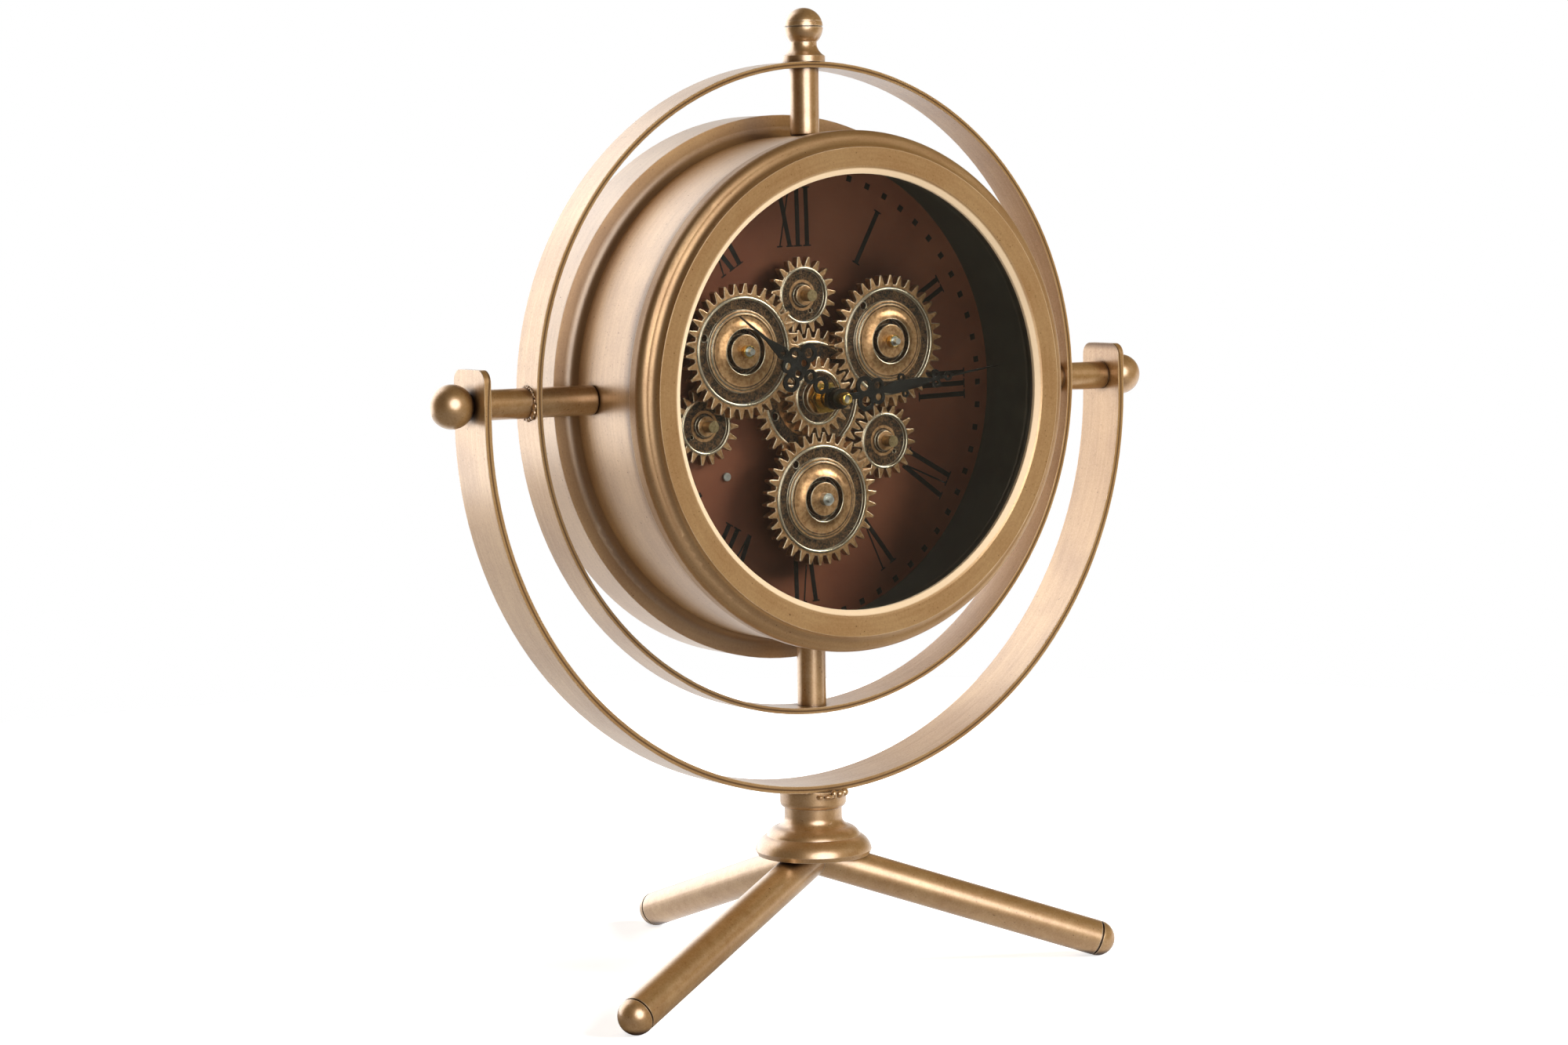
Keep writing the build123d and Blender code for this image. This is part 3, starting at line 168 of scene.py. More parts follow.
# %% Floor
floor_radius = 0.9
floor_mesh = bpy.data.meshes.new("floor")
sheet = bmesh.new()
bmesh.ops.create_circle(sheet, cap_ends=True, segments=64, radius=floor_radius)
sheet.to_mesh(floor_mesh)
sheet.free()
floor = bpy.data.objects.new("floor", floor_mesh)
bpy.context.scene.collection.objects.link(floor)
sweep, tree, shader, mm = start_finish("white_sweep_paper")
grain = add(tree, "ShaderNodeTexNoise", {"Vector": mm, "Scale": 1 / 3, "Detail": 3.0}).outputs["Fac"]
pale = add(tree, "ShaderNodeMix", {0: grain, 6: hex_colour("#f4f4f4"), 7: hex_colour("#fafafa")},
           data_type="RGBA").outputs[2]
light_path = add(tree, "ShaderNodeLightPath").outputs
shown = add(tree, "ShaderNodeMix", {0: light_path["Is Glossy Ray"], 6: pale, 7: hex_colour("#7b7772")},
            data_type="RGBA")
tree.links.new(shown.outputs[2], shader.inputs["Base Color"])
shader.inputs["Roughness"].default_value = 0.9
shader.inputs["Specular IOR Level"].default_value = 0.1
away = add(tree, "ShaderNodeVectorMath", {0: mm}, operation="LENGTH").outputs["Value"]
far = add(tree, "ShaderNodeMapRange", {
    "Value": away, "From Min": 150.0, "From Max": 420.0, "To Min": 0.66, "To Max": 1.0}).outputs[0]
beyond = add(tree, "ShaderNodeVectorMath", {0: mm, 1: -back}, operation="DOT_PRODUCT").outputs["Value"]
behind = add(tree, "ShaderNodeMapRange", {
    "Value": beyond, "From Min": -40.0, "From Max": 120.0, "To Min": 0.0, "To Max": 0.9}).outputs[0]
bounce = add(tree, "ShaderNodeMath", {0: light_path["Is Diffuse Ray"], 1: 0.8},
             operation="MULTIPLY").outputs[0]
mirrored = add(tree, "ShaderNodeMath", {0: light_path["Is Glossy Ray"], 1: behind, 2: bounce},
               operation="MULTIPLY_ADD").outputs[0]
direct = add(tree, "ShaderNodeMath", {0: light_path["Is Camera Ray"], 1: far},
             operation="MULTIPLY").outputs[0]
lift = add(tree, "ShaderNodeMath", {0: mirrored, 1: direct}, operation="MAXIMUM").outputs[0]
shader.inputs["Emission Color"].default_value = hex_colour("#ffffff")
tree.links.new(lift, shader.inputs["Emission Strength"])
floor_mesh.materials.append(sweep)
print("floor", sweep.name)

# %% [markdown]
# Two soft lamps stand in front. The wide one on the left is what the balls and tubes mirror. The one on the
# right throws the gears' shadows towards the lower left and leaves the right and top of the dial in the
# case's shade.

# %% Lamps
lamps = {
    "wide": ((-0.40, -1.65, 0.76), 1.6, 34.0, "visible_diffuse"),
    "dial": ((1.20, -1.10, 0.98), 0.9, 48.0, "visible_glossy"),
}
for lamp_name, (place, size, watts, hidden) in lamps.items():
    lamp_data = bpy.data.lights.new(lamp_name + "_lamp", "AREA")
    lamp_data.shape = "DISK"
    lamp_data.size = size
    lamp_data.energy = watts
    lamp = bpy.data.objects.new(lamp_name + "_lamp", lamp_data)
    lamp.location = place
    lamp.visible_camera = False
    setattr(lamp, hidden, False)
    lamp.rotation_euler = (GIMBAL - Vector(place)).to_track_quat("-Z", "Y").to_euler()
    bpy.context.scene.collection.objects.link(lamp)
print("lamps", list(lamps))

# %% [markdown]
# Antique gold is a metallic lacquer sprayed on steel and then toned by hand. Flakes make it a satin metal;
# a thin clear coat whitens the gloss; brown glaze stays in the corners, and painted shade darkens them
# further; edges are rubbed brighter, and their pale tone is partly a painted highlight. Brown zones paint
# shade in the cove and on the band's face, and the bezel's inner lip is a painted highlight. The turned
# pieces keep fine marks that run round the case, so their noise is stretched along circles about the
# case's own axis.

# %% Antique gold lacquer
def gold_lacquer(name, centre=None, seam=None, bows=(), darkened_zones=(), lip=None, low=0.38, high=0.46, coat=1.0,
                 satin=0.27, metal=0.62):
    """Sprayed metallic lacquer on steel: satin, with dust nibs, brown glaze in corners and rubbed edges.

    A turned piece has a centre. The roughness varies from low to high, under a clear coat that is more or
    less satin. A filled seam is a depth where no edge shows. Each bow is a range of depths over which the
    shading alone leans towards the front, and its slope. Inside the lip's radius the gold is painted pale
    and matt, as a painted highlight. The glaze in corners is partly painted shade, and the pale rubbed
    edges are partly a painted highlight. The darkened zones list brown zones, by depth or by radius from the
    centre: start, full, leave, end and amount; some of them are painted shade.
    """
    paint, tree, shader, mm = start_finish(name)
    depth = add(tree, "ShaderNodeSeparateXYZ", {0: mm}).outputs["Y"]
    cloud = add(tree, "ShaderNodeTexNoise", {"Vector": mm, "Scale": 1 / 22, "Detail": 4.0}).outputs["Fac"]
    if centre is not None:
        centred = add(tree, "ShaderNodeVectorMath", {0: mm, 1: centre / MM}, operation="SUBTRACT").outputs[0]
        flat = add(tree, "ShaderNodeVectorMath", {0: centred, 1: (1, 0, 1)}, operation="MULTIPLY").outputs[0]
        radius = add(tree, "ShaderNodeVectorMath", {0: flat}, operation="LENGTH").outputs["Value"]
        around = add(tree, "ShaderNodeVectorMath", {0: flat}, operation="NORMALIZE").outputs[0]
        wide = add(tree, "ShaderNodeVectorMath", {0: around, "Scale": 5.0}, operation="SCALE").outputs[0]
        deep = add(tree, "ShaderNodeVectorMath", {0: centred, 1: (0, 1 / 1.4, 0)},
                   operation="MULTIPLY").outputs[0]
        path = add(tree, "ShaderNodeVectorMath", {0: wide, 1: deep}, operation="ADD").outputs[0]
        across = add(tree, "ShaderNodeMath", {0: radius, 1: 1 / 1.4}, operation="MULTIPLY").outputs[0]
        streak = add(tree, "ShaderNodeTexNoise", {"Vector": path, "W": across, "Scale": 1.0, "Detail": 3.0},
                     noise_dimensions="4D").outputs["Fac"]
    else:
        streak = add(tree, "ShaderNodeTexNoise", {"Vector": mm, "Scale": 1 / 4, "Detail": 4.0}).outputs["Fac"]
    tone = add(tree, "ShaderNodeMix", {0: 0.45, 2: cloud, 3: streak}).outputs[0]
    grit = add(tree, "ShaderNodeTexNoise", {"Vector": mm, "Scale": 1 / 0.8, "Detail": 2.0}).outputs["Fac"]
    tone = add(tree, "ShaderNodeMix", {0: 0.3, 2: tone, 3: grit}).outputs[0]
    tone = add(tree, "ShaderNodeMapRange", {"Value": tone, "From Min": 0.38, "From Max": 0.62}).outputs[0]
    flakes = add(tree, "ShaderNodeMix", {0: tone, 6: hex_colour("#a67a42"), 7: hex_colour("#be965f")},
                 data_type="RGBA").outputs[2]
    nib = add(tree, "ShaderNodeMapRange", {"Value": grit, "From Min": 0.70, "From Max": 0.78}).outputs[0]
    pit = add(tree, "ShaderNodeMapRange", {"Value": grit, "From Min": 0.29, "From Max": 0.24}).outputs[0]
    # Brown glaze gathers where pieces meet; the occlusion that places it also paints shade there
    corner = add(tree, "ShaderNodeAmbientOcclusion", {"Distance": 0.004}, samples=8).outputs["AO"]
    glaze_and_painted_shade = add(tree, "ShaderNodeMapRange", {"Value": corner, "From Min": 0.85, "From Max": 0.30}).outputs[0]
    stain_and_painted_shade = add(tree, "ShaderNodeMath", {0: glaze_and_painted_shade, 1: pit}, operation="MAXIMUM").outputs[0]
    for measure, start, full, leave, end, amount in darkened_zones:
        where = depth if measure == "depth" else radius
        rise = add(tree, "ShaderNodeMapRange", {
            "Value": where, "From Min": start, "From Max": full}).outputs[0]
        fall = add(tree, "ShaderNodeMapRange", {
            "Value": where, "From Min": end, "From Max": leave}).outputs[0]
        zone = add(tree, "ShaderNodeMath", {0: rise, 1: fall}, operation="MULTIPLY").outputs[0]
        brown = add(tree, "ShaderNodeMath", {0: zone, 1: amount}, operation="MULTIPLY").outputs[0]
        stain_and_painted_shade = add(tree, "ShaderNodeMath", {0: stain_and_painted_shade, 1: brown}, operation="MAXIMUM").outputs[0]
    toned = add(tree, "ShaderNodeMix", {0: stain_and_painted_shade, 6: flakes, 7: hex_colour("#4b311b")},
                data_type="RGBA").outputs[2]
    # A bevelled normal rounds each edge by about half a millimetre and shows where hands rubbed it; the pale
    # rubbed tone is partly a painted highlight
    soft = add(tree, "ShaderNodeBevel", {"Radius": 0.0006}, samples=6).outputs[0]
    facing = add(tree, "ShaderNodeNewGeometry").outputs["Normal"]
    if seam is not None:
        filled = add(tree, "ShaderNodeMath", {0: depth, 1: seam, 2: 1.2}, operation="COMPARE").outputs[0]
        soft = add(tree, "ShaderNodeMix", {0: filled, 4: soft, 5: facing}, data_type="VECTOR").outputs[1]
    agree = add(tree, "ShaderNodeVectorMath", {0: soft, 1: facing}, operation="DOT_PRODUCT").outputs["Value"]
    edge = add(tree, "ShaderNodeMapRange", {"Value": agree, "From Min": 0.995, "From Max": 0.86}).outputs[0]
    wear_and_highlight = add(tree, "ShaderNodeMath", {0: edge, 1: cloud}, operation="MULTIPLY").outputs[0]
    gloss = add(tree, "ShaderNodeMapRange", {"Value": tone, "To Min": high, "To Max": low}).outputs[0]
    matt = stain_and_painted_shade
    # Inside the lip the gold is painted pale and matt: a painted highlight
    if lip is not None:
        pale = add(tree, "ShaderNodeMapRange", {"Value": radius, "From Min": lip + 0.3, "From Max": lip - 0.3,
                                                "To Max": 0.7}).outputs[0]
        wear_and_highlight = add(tree, "ShaderNodeMath", {0: wear_and_highlight, 1: pale}, operation="MAXIMUM").outputs[0]
        matt = add(tree, "ShaderNodeMath", {0: pale, 1: 1.5, 2: stain_and_painted_shade}, operation="MULTIPLY_ADD").outputs[0]
        gloss = add(tree, "ShaderNodeMix", {0: pale, 2: gloss, 3: 0.7}).outputs[0]
    rubbed = add(tree, "ShaderNodeMix", {0: wear_and_highlight, 6: toned, 7: hex_colour("#ecd6b4")},
                 data_type="RGBA").outputs[2]
    tree.links.new(rubbed, shader.inputs["Base Color"])
    tree.links.new(gloss, shader.inputs["Roughness"])
    bare = add(tree, "ShaderNodeMapRange", {"Value": wear_and_highlight, "To Min": metal, "To Max": 0.1}).outputs[0]
    tree.links.new(bare, shader.inputs["Metallic"])
    clear = add(tree, "ShaderNodeMapRange", {"Value": matt, "To Min": coat, "To Max": 0.1 * coat}).outputs[0]
    tree.links.new(clear, shader.inputs["Coat Weight"])
    shader.inputs["Coat Roughness"].default_value = satin
    shader.inputs["Coat IOR"].default_value = 2.1
    for flat_depth, bowed_depth, slope in bows:
        lean = add(tree, "ShaderNodeMapRange", {
            "Value": depth, "From Min": flat_depth, "From Max": bowed_depth, "To Max": -slope}).outputs[0]
        tilt = add(tree, "ShaderNodeCombineXYZ", {1: lean}).outputs[0]
        tilt = add(tree, "ShaderNodeVectorTransform", {0: tilt}, convert_from="OBJECT", convert_to="WORLD",
                   vector_type="VECTOR").outputs[0]
        bowed = add(tree, "ShaderNodeVectorMath", {0: soft, 1: tilt}, operation="ADD").outputs[0]
        soft = add(tree, "ShaderNodeVectorMath", {0: bowed}, operation="NORMALIZE").outputs[0]
    height = add(tree, "ShaderNodeMath", {0: nib, 1: pit}, operation="SUBTRACT").outputs[0]
    fine = add(tree, "ShaderNodeMath", {0: streak, 1: 0.25, 2: height}, operation="MULTIPLY_ADD").outputs[0]
    bump = add(tree, "ShaderNodeBump", {
        "Height": fine, "Normal": soft, "Strength": 0.35, "Distance": 0.00012})
    tree.links.new(bump.outputs[0], shader.inputs["Normal"])
    return paint


drum_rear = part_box("case_drum")[1].y / MM
yoke_centre = Vector((0, 0, 0.238))
# Brown zones: a band darker next to the bezel, and painted shade where the drum turns into the cove; on the
# band, painted shade in the cove and on its face; on the bezel, slightly darker inside the crest and darker
# outside it; thin dark lines on the ring and yoke
case_zones = [("depth", -31.0, -30.0, -29.0, -24.0, 0.3), ("depth", 9.0, 10.8, 20.0, 21.0, 0.3)]
band_zones = [("radius", 103.0, 103.5, 106.5, 113.0, 0.6)]
bezel_zones = [("radius", 0.0, 1.0, 98.8, 99.3, 0.08), ("radius", 99.0, 99.5, 200.0, 201.0, 0.28)]
ring_lines = [("radius", 132.2, 132.5, 132.9, 133.2, 0.8)]
yoke_lines = [("radius", 157.5, 157.8, 158.2, 158.5, 0.8)]
barrel_bows = [(-23.0, -31.0, 0.35), (-8.0, 10.8, 0.15)]
case_gold = gold_lacquer("antique_gold_lacquer_case", centre=GIMBAL, seam=drum_rear, bows=barrel_bows,
                         darkened_zones=case_zones, low=0.4, high=0.48, satin=0.34)
band_gold = gold_lacquer("antique_gold_lacquer_band", centre=GIMBAL, seam=drum_rear, darkened_zones=band_zones,
                         low=0.4, high=0.48, satin=0.34, metal=0.4)
bezel_gold = gold_lacquer("antique_gold_lacquer_bezel", centre=GIMBAL, darkened_zones=bezel_zones, lip=90.2,
                          coat=0.5, satin=0.4)
ring_gold = gold_lacquer("antique_gold_lacquer_ring", centre=GIMBAL, darkened_zones=ring_lines, coat=0.85)
yoke_gold = gold_lacquer("antique_gold_lacquer_yoke", centre=yoke_centre, darkened_zones=yoke_lines, coat=0.85)
tube_gold = gold_lacquer("antique_gold_lacquer_tubes", low=0.32, high=0.4)
post_gold = gold_lacquer("antique_gold_lacquer_posts", low=0.3, high=0.38, coat=0.75)
plain_gold = gold_lacquer("antique_gold_lacquer", low=0.34, high=0.42)
dress(case_gold, "case_drum")
dress(band_gold, "case_band")
dress(bezel_gold, "bezel")
dress(ring_gold, "gimbal_ring")
dress(yoke_gold, "yoke")
dress(tube_gold, "leg_front_left", "leg_front_right")
dress(post_gold, "side_post_right", "side_post_left", "pivot_tube_right", "pivot_tube_left")
dress(plain_gold, "leg_rear", "top_post", "bottom_post", "column", "foot_cap_rear", "foot_cap_front_left",
      "foot_cap_front_right", "ball_knob_right", "ball_knob_left", "finial")

# %% [markdown]
# The gears are moulded and coated in antique bronze. A dark patina was wiped over them and stays in the
# sunk rings, and painted shade darkens their tight corners. The raised rims were rubbed bright, and their
# pale tone is partly a painted highlight. Each gear is round, so the patina follows the
# distance from its own axle: a list of rings says where the dark lies.

# %% Gear finish
axles = {j["child"]: Vector(j["pos_m"]) for j in frame["joints"] if "pos_m" in j}


def gear_bronze(name, axle, dark_rings, bright_rings):
    """Antique bronze coat: patina in the dark rings, rubbed metal on the bright ones, in mm from the axle."""
    coat, tree, shader, mm = start_finish(name)
    arm = add(tree, "ShaderNodeVectorMath", {0: mm, 1: axle / MM}, operation="SUBTRACT").outputs[0]
    arm = add(tree, "ShaderNodeVectorMath", {0: arm, 1: (1, 0, 1)}, operation="MULTIPLY").outputs[0]
    reach = add(tree, "ShaderNodeVectorMath", {0: arm}, operation="LENGTH").outputs["Value"]
    covers, blur = [], 0.08
    for rings in (dark_rings, bright_rings):
        inside = None
        for inner, outer in rings:
            past = add(tree, "ShaderNodeMapRange", {
                "Value": reach, "From Min": inner - blur, "From Max": inner + blur}).outputs[0]
            short = add(tree, "ShaderNodeMapRange", {
                "Value": reach, "From Min": outer + blur, "From Max": outer - blur}).outputs[0]
            ring = add(tree, "ShaderNodeMath", {0: past, 1: short}, operation="MULTIPLY").outputs[0]
            inside = ring if inside is None else add(tree, "ShaderNodeMath", {0: inside, 1: ring},
                                                     operation="MAXIMUM").outputs[0]
        covers.append(inside)
    dark, bright = covers
    mottle = add(tree, "ShaderNodeTexNoise", {"Vector": mm, "Scale": 1 / 1.6, "Detail": 5.0,
                                              "Roughness": 0.65}).outputs["Fac"]
    wiped = add(tree, "ShaderNodeMapRange", {"Value": mottle, "From Min": 0.38, "From Max": 0.66}).outputs[0]
    bronze = add(tree, "ShaderNodeMix", {0: wiped, 6: hex_colour("#8a6340"), 7: hex_colour("#bd9166")},
                 data_type="RGBA").outputs[2]
    speck = add(tree, "ShaderNodeTexNoise", {"Vector": mm, "Scale": 1 / 0.7, "Detail": 3.0}).outputs["Fac"]
    rough = add(tree, "ShaderNodeMix", {0: 0.5, 2: mottle, 3: speck}).outputs[0]
    spots = add(tree, "ShaderNodeMapRange", {"Value": rough, "From Min": 0.44, "From Max": 0.64}).outputs[0]
    patina = add(tree, "ShaderNodeMix", {0: spots, 6: hex_colour("#0f0a06"), 7: hex_colour("#735133")},
                 data_type="RGBA").outputs[2]
    # Painted shade: occlusion darkens tight corners along with the patina
    corner = add(tree, "ShaderNodeAmbientOcclusion", {"Distance": 0.0022}, samples=6).outputs["AO"]
    grime_and_painted_shade = add(tree, "ShaderNodeMapRange", {"Value": corner, "From Min": 0.5, "From Max": 0.2}).outputs[0]
    cover = add(tree, "ShaderNodeMath", {0: dark, 1: grime_and_painted_shade}, operation="MAXIMUM").outputs[0]
    toned = add(tree, "ShaderNodeMix", {0: cover, 6: bronze, 7: patina}, data_type="RGBA").outputs[2]
    soft = add(tree, "ShaderNodeBevel", {"Radius": 0.0006}, samples=8).outputs[0]
    facing = add(tree, "ShaderNodeNewGeometry").outputs["Normal"]
    agree = add(tree, "ShaderNodeVectorMath", {0: soft, 1: facing}, operation="DOT_PRODUCT").outputs["Value"]
    edge = add(tree, "ShaderNodeMapRange", {"Value": agree, "From Min": 0.99, "From Max": 0.85}).outputs[0]
    # Edges and bright rings are rubbed metal, whitened as a painted highlight
    rub_and_highlight = add(tree, "ShaderNodeMath", {0: edge, 1: bright}, operation="MAXIMUM").outputs[0]
    rubbed = add(tree, "ShaderNodeMix", {0: rub_and_highlight, 6: toned, 7: hex_colour("#f2e0c4")},
                 data_type="RGBA").outputs[2]
    tree.links.new(rubbed, shader.inputs["Base Color"])
    shine = add(tree, "ShaderNodeMapRange", {"Value": cover, "To Min": 0.75, "To Max": 0.2}).outputs[0]
    bare = add(tree, "ShaderNodeMath", {0: shine, 1: rub_and_highlight}, operation="MAXIMUM").outputs[0]
    tree.links.new(bare, shader.inputs["Metallic"])
    gloss = add(tree, "ShaderNodeMapRange", {"Value": cover, "To Min": 0.34, "To Max": 0.7}).outputs[0]
    polish = add(tree, "ShaderNodeMix", {0: rub_and_highlight, 2: gloss, 3: 0.22}).outputs[0]
    tree.links.new(polish, shader.inputs["Roughness"])
    shader.inputs["Specular IOR Level"].default_value = 0.2
    shader.inputs["Coat Weight"].default_value = 0.15
    shader.inputs["Coat Roughness"].default_value = 0.2
    bump = add(tree, "ShaderNodeBump", {"Height": rough, "Normal": soft, "Strength": 0.3, "Distance": 0.0001})
    tree.links.new(bump.outputs[0], shader.inputs["Normal"])
    return coat


large_rings = [(6.9, 9.35), (14.3, 14.85), (15.4, 15.95), (16.75, 21.4), (22.15, 22.55)]
large_bright_rims = [(21.4, 22.15)]
small_rings = [(4.15, 5.3), (6.4, 10.85)]
small_bright_rims = [(10.85, 11.55)]
wheel_rings = [(7.0, 10.45), (16.6, 22.15)]
wheel_bright_rims = [(10.5, 11.25), (22.15, 22.95)]
gear_nodes = {
    "left_train": ("left_large_gear", large_rings, large_bright_rims),
    "right_train": ("right_large_gear", large_rings, large_bright_rims),
    "bottom_train": ("bottom_large_gear", large_rings, large_bright_rims),
    "top_small": ("top_small_gear", small_rings, small_bright_rims),
    "right_small": ("right_small_gear", small_rings, small_bright_rims),
    "left_small": ("left_small_gear", small_rings, small_bright_rims),
    "centre_train": ("centre_gear", wheel_rings, wheel_bright_rims),
}
gear_coats = {}
for body, (gear, dark_rings, bright_rings) in gear_nodes.items():
    gear_coats[body] = gear_bronze("antique_bronze_" + body, axles[body], dark_rings, bright_rings)
    dress(gear_coats[body], gear)
dress(gear_coats["left_train"], "left_pinion")

# %% [markdown]
# The small parts are bought pieces. Brass nuts and collets are turned bright; pins, screws and tabs are
# zinc-plated steel; the hands are stamped and sprayed black; the movement, motor and battery box are
# moulded plastic. They are small in the picture, so one recipe serves them all: two close tones, a gloss,
# and a grain of a real size that breaks the highlight.

# %% Brass, steel, black paint and plastic
def grained_finish(name, dark, light, grain_mm, metallic, low, high, sheen=0.5):
    """Two close tones and a grain of a given size, which also roughens the gloss from low to high."""
    finish, tree, shader, mm = start_finish(name)
    grain = add(tree, "ShaderNodeTexNoise", {
        "Vector": mm, "Scale": 1 / grain_mm, "Detail": 4.0}).outputs["Fac"]
    spread = add(tree, "ShaderNodeMapRange", {"Value": grain, "From Min": 0.3, "From Max": 0.7}).outputs[0]
    tone = add(tree, "ShaderNodeMix", {0: spread, 6: hex_colour(dark), 7: hex_colour(light)},
               data_type="RGBA").outputs[2]
    tree.links.new(tone, shader.inputs["Base Color"])
    shader.inputs["Metallic"].default_value = metallic
    shader.inputs["Specular IOR Level"].default_value = sheen
    gloss = add(tree, "ShaderNodeMapRange", {"Value": grain, "To Min": low, "To Max": high}).outputs[0]
    tree.links.new(gloss, shader.inputs["Roughness"])
    soft = add(tree, "ShaderNodeBevel", {"Radius": 0.0002}, samples=4).outputs[0]
    bump = add(tree, "ShaderNodeBump", {
        "Height": grain, "Normal": soft, "Strength": 0.15, "Distance": 0.00005})
    tree.links.new(bump.outputs[0], shader.inputs["Normal"])
    return finish


brass = grained_finish("turned_brass", "#b98c3c", "#d9b566", 0.9, 1.0, 0.16, 0.3)
old_brass = grained_finish("dulled_brass", "#7d6a4c", "#a38c66", 0.9, 1.0, 0.25, 0.4)
zinc = grained_finish("zinc_plated_steel", "#9c9a95", "#bfbcb5", 1.2, 0.95, 0.24, 0.4)
hand_paint = grained_finish("satin_black_enamel", "#0c0b0a", "#151412", 1.5, 0.0, 0.3, 0.45, 0.15)
liner_card = grained_finish("grey_black_card", "#26261f", "#34342c", 6.0, 0.0, 0.55, 0.75)
moulding = grained_finish("moulded_black_abs", "#161616", "#212121", 2.0, 0.0, 0.4, 0.6)
rubber = grained_finish("black_rubber", "#0f0f0f", "#1b1b1b", 1.0, 0.0, 0.7, 0.85)
back_paint = grained_finish("brown_back_enamel", "#2a2019", "#3a2d22", 3.0, 0.1, 0.45, 0.65)
cell_sleeve = grained_finish("plain_cell_sleeve", "#4c4f52", "#63676a", 4.0, 0.6, 0.3, 0.45)
dress(brass, "movement_bush", "bush_nuts", "large_gear_collets", "cap_nut", "hour_tube")
dress(zinc, "pivot_studs", "post_screws", "dial_tabs", "dial_screws", "large_gear_pins", "small_gear_pins",
      "drive_shaft", "minute_arbor", "cover_screws", "cell_contacts")
dress(old_brass, "small_gear_caps")
dress(hand_paint, "hour_hand", "minute_hand")
dress(liner_card, "dial_liner")
dress(moulding, "movement_case", "battery_box", "gear_motor", "switch_body", "switch_slider", "set_knob")
dress(rubber, "glass_gasket", "motor_leads")
dress(back_paint, "back_cover")
dress(cell_sleeve, "cells")

# %% [markdown]
# The dial is sheet metal in a matt red-brown enamel. Slow clouds vary its colour, and fine flecks of dust
# in the paint break its surface.

# %% Dial paint
dial_paint, tree, shader, mm = start_finish("brown_dial_enamel")
cloud = add(tree, "ShaderNodeTexNoise", {"Vector": mm, "Scale": 1 / 35, "Detail": 4.0}).outputs["Fac"]
fleck = add(tree, "ShaderNodeTexNoise", {"Vector": mm, "Scale": 1 / 0.9, "Detail": 3.0}).outputs["Fac"]
tone = add(tree, "ShaderNodeMapRange", {"Value": cloud, "From Min": 0.35, "From Max": 0.65}).outputs[0]
brown = add(tree, "ShaderNodeMix", {0: tone, 6: hex_colour("#744230"), 7: hex_colour("#85503a")},
            data_type="RGBA").outputs[2]
dust = add(tree, "ShaderNodeMapRange", {
    "Value": fleck, "From Min": 0.70, "From Max": 0.80, "To Max": 0.35}).outputs[0]
flecked = add(tree, "ShaderNodeMix", {0: dust, 6: brown, 7: hex_colour("#a37a63")},
              data_type="RGBA").outputs[2]
tree.links.new(flecked, shader.inputs["Base Color"])
gloss = add(tree, "ShaderNodeMapRange", {"Value": fleck, "To Min": 0.5, "To Max": 0.65}).outputs[0]
tree.links.new(gloss, shader.inputs["Roughness"])
shader.inputs["Specular IOR Level"].default_value = 0.12
bump = add(tree, "ShaderNodeBump", {"Height": fleck, "Strength": 0.1, "Distance": 0.00005})
tree.links.new(bump.outputs[0], shader.inputs["Normal"])
dress(dial_paint, "dial_plate")

# %% [markdown]
# The pane is clear float glass. A ray that only carries light to the dial passes it freely, so the dial is
# lit as through a real window; a ray that is seen is bent and mirrored as glass does.

# %% Glass
pane, tree, shader, mm = start_finish("clear_float_glass")
haze = add(tree, "ShaderNodeTexNoise", {"Vector": mm, "Scale": 1 / 18, "Detail": 2.0}).outputs["Fac"]
wiped = add(tree, "ShaderNodeMapRange", {"Value": haze, "To Min": 0.0, "To Max": 0.04}).outputs[0]
tree.links.new(wiped, shader.inputs["Roughness"])
shader.inputs["Base Color"].default_value = hex_colour("#f4f8f6")
shader.inputs["Transmission Weight"].default_value = 1.0
shader.inputs["IOR"].default_value = 1.5
shadow = add(tree, "ShaderNodeLightPath").outputs
passing = add(tree, "ShaderNodeMath", {0: shadow["Is Shadow Ray"], 1: shadow["Is Diffuse Ray"]},
              operation="MAXIMUM").outputs[0]
clear = add(tree, "ShaderNodeBsdfTransparent", {"Color": hex_colour("#f1f5f3")}).outputs[0]
both = add(tree, "ShaderNodeMixShader", {0: passing, 1: shader.outputs[0], 2: clear}).outputs[0]
tree.links.new(both, tree.nodes["Material Output"].inputs["Surface"])
dress(pane, "glass")

# %% [markdown]
# The hours are printed on the dial in tall narrow Roman figures with their feet towards the middle. Each
# figure is a few straight strokes, thick and thin, with small serifs, so a table of corner points draws
# them all.

# %% Roman figures
ARBOR = axles["minute"] / MM
dial_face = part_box("dial_plate")[0].y / MM
print_depth = 0.06
foot_radius, figure_height = 61.7, 24.6
thick, thin, serif = 2.1, 0.7, 0.6
print_turn = radians(-1.4)


def bar(top, bottom, width, reach):
    """A stroke from a top to a bottom place, level at both ends, with a serif that reaches past each side."""
    half = width / 2
    shapes = [[(bottom - half, 0), (bottom + half, 0), (top + half, figure_height),
               (top - half, figure_height)]]
    for middle, low in ((bottom, 0.0), (top, figure_height - serif)):
        over = half + reach
        shapes.append([(middle - over, low), (middle + over, low), (middle + over, low + serif),
                       (middle - over, low + serif)])
    return shapes


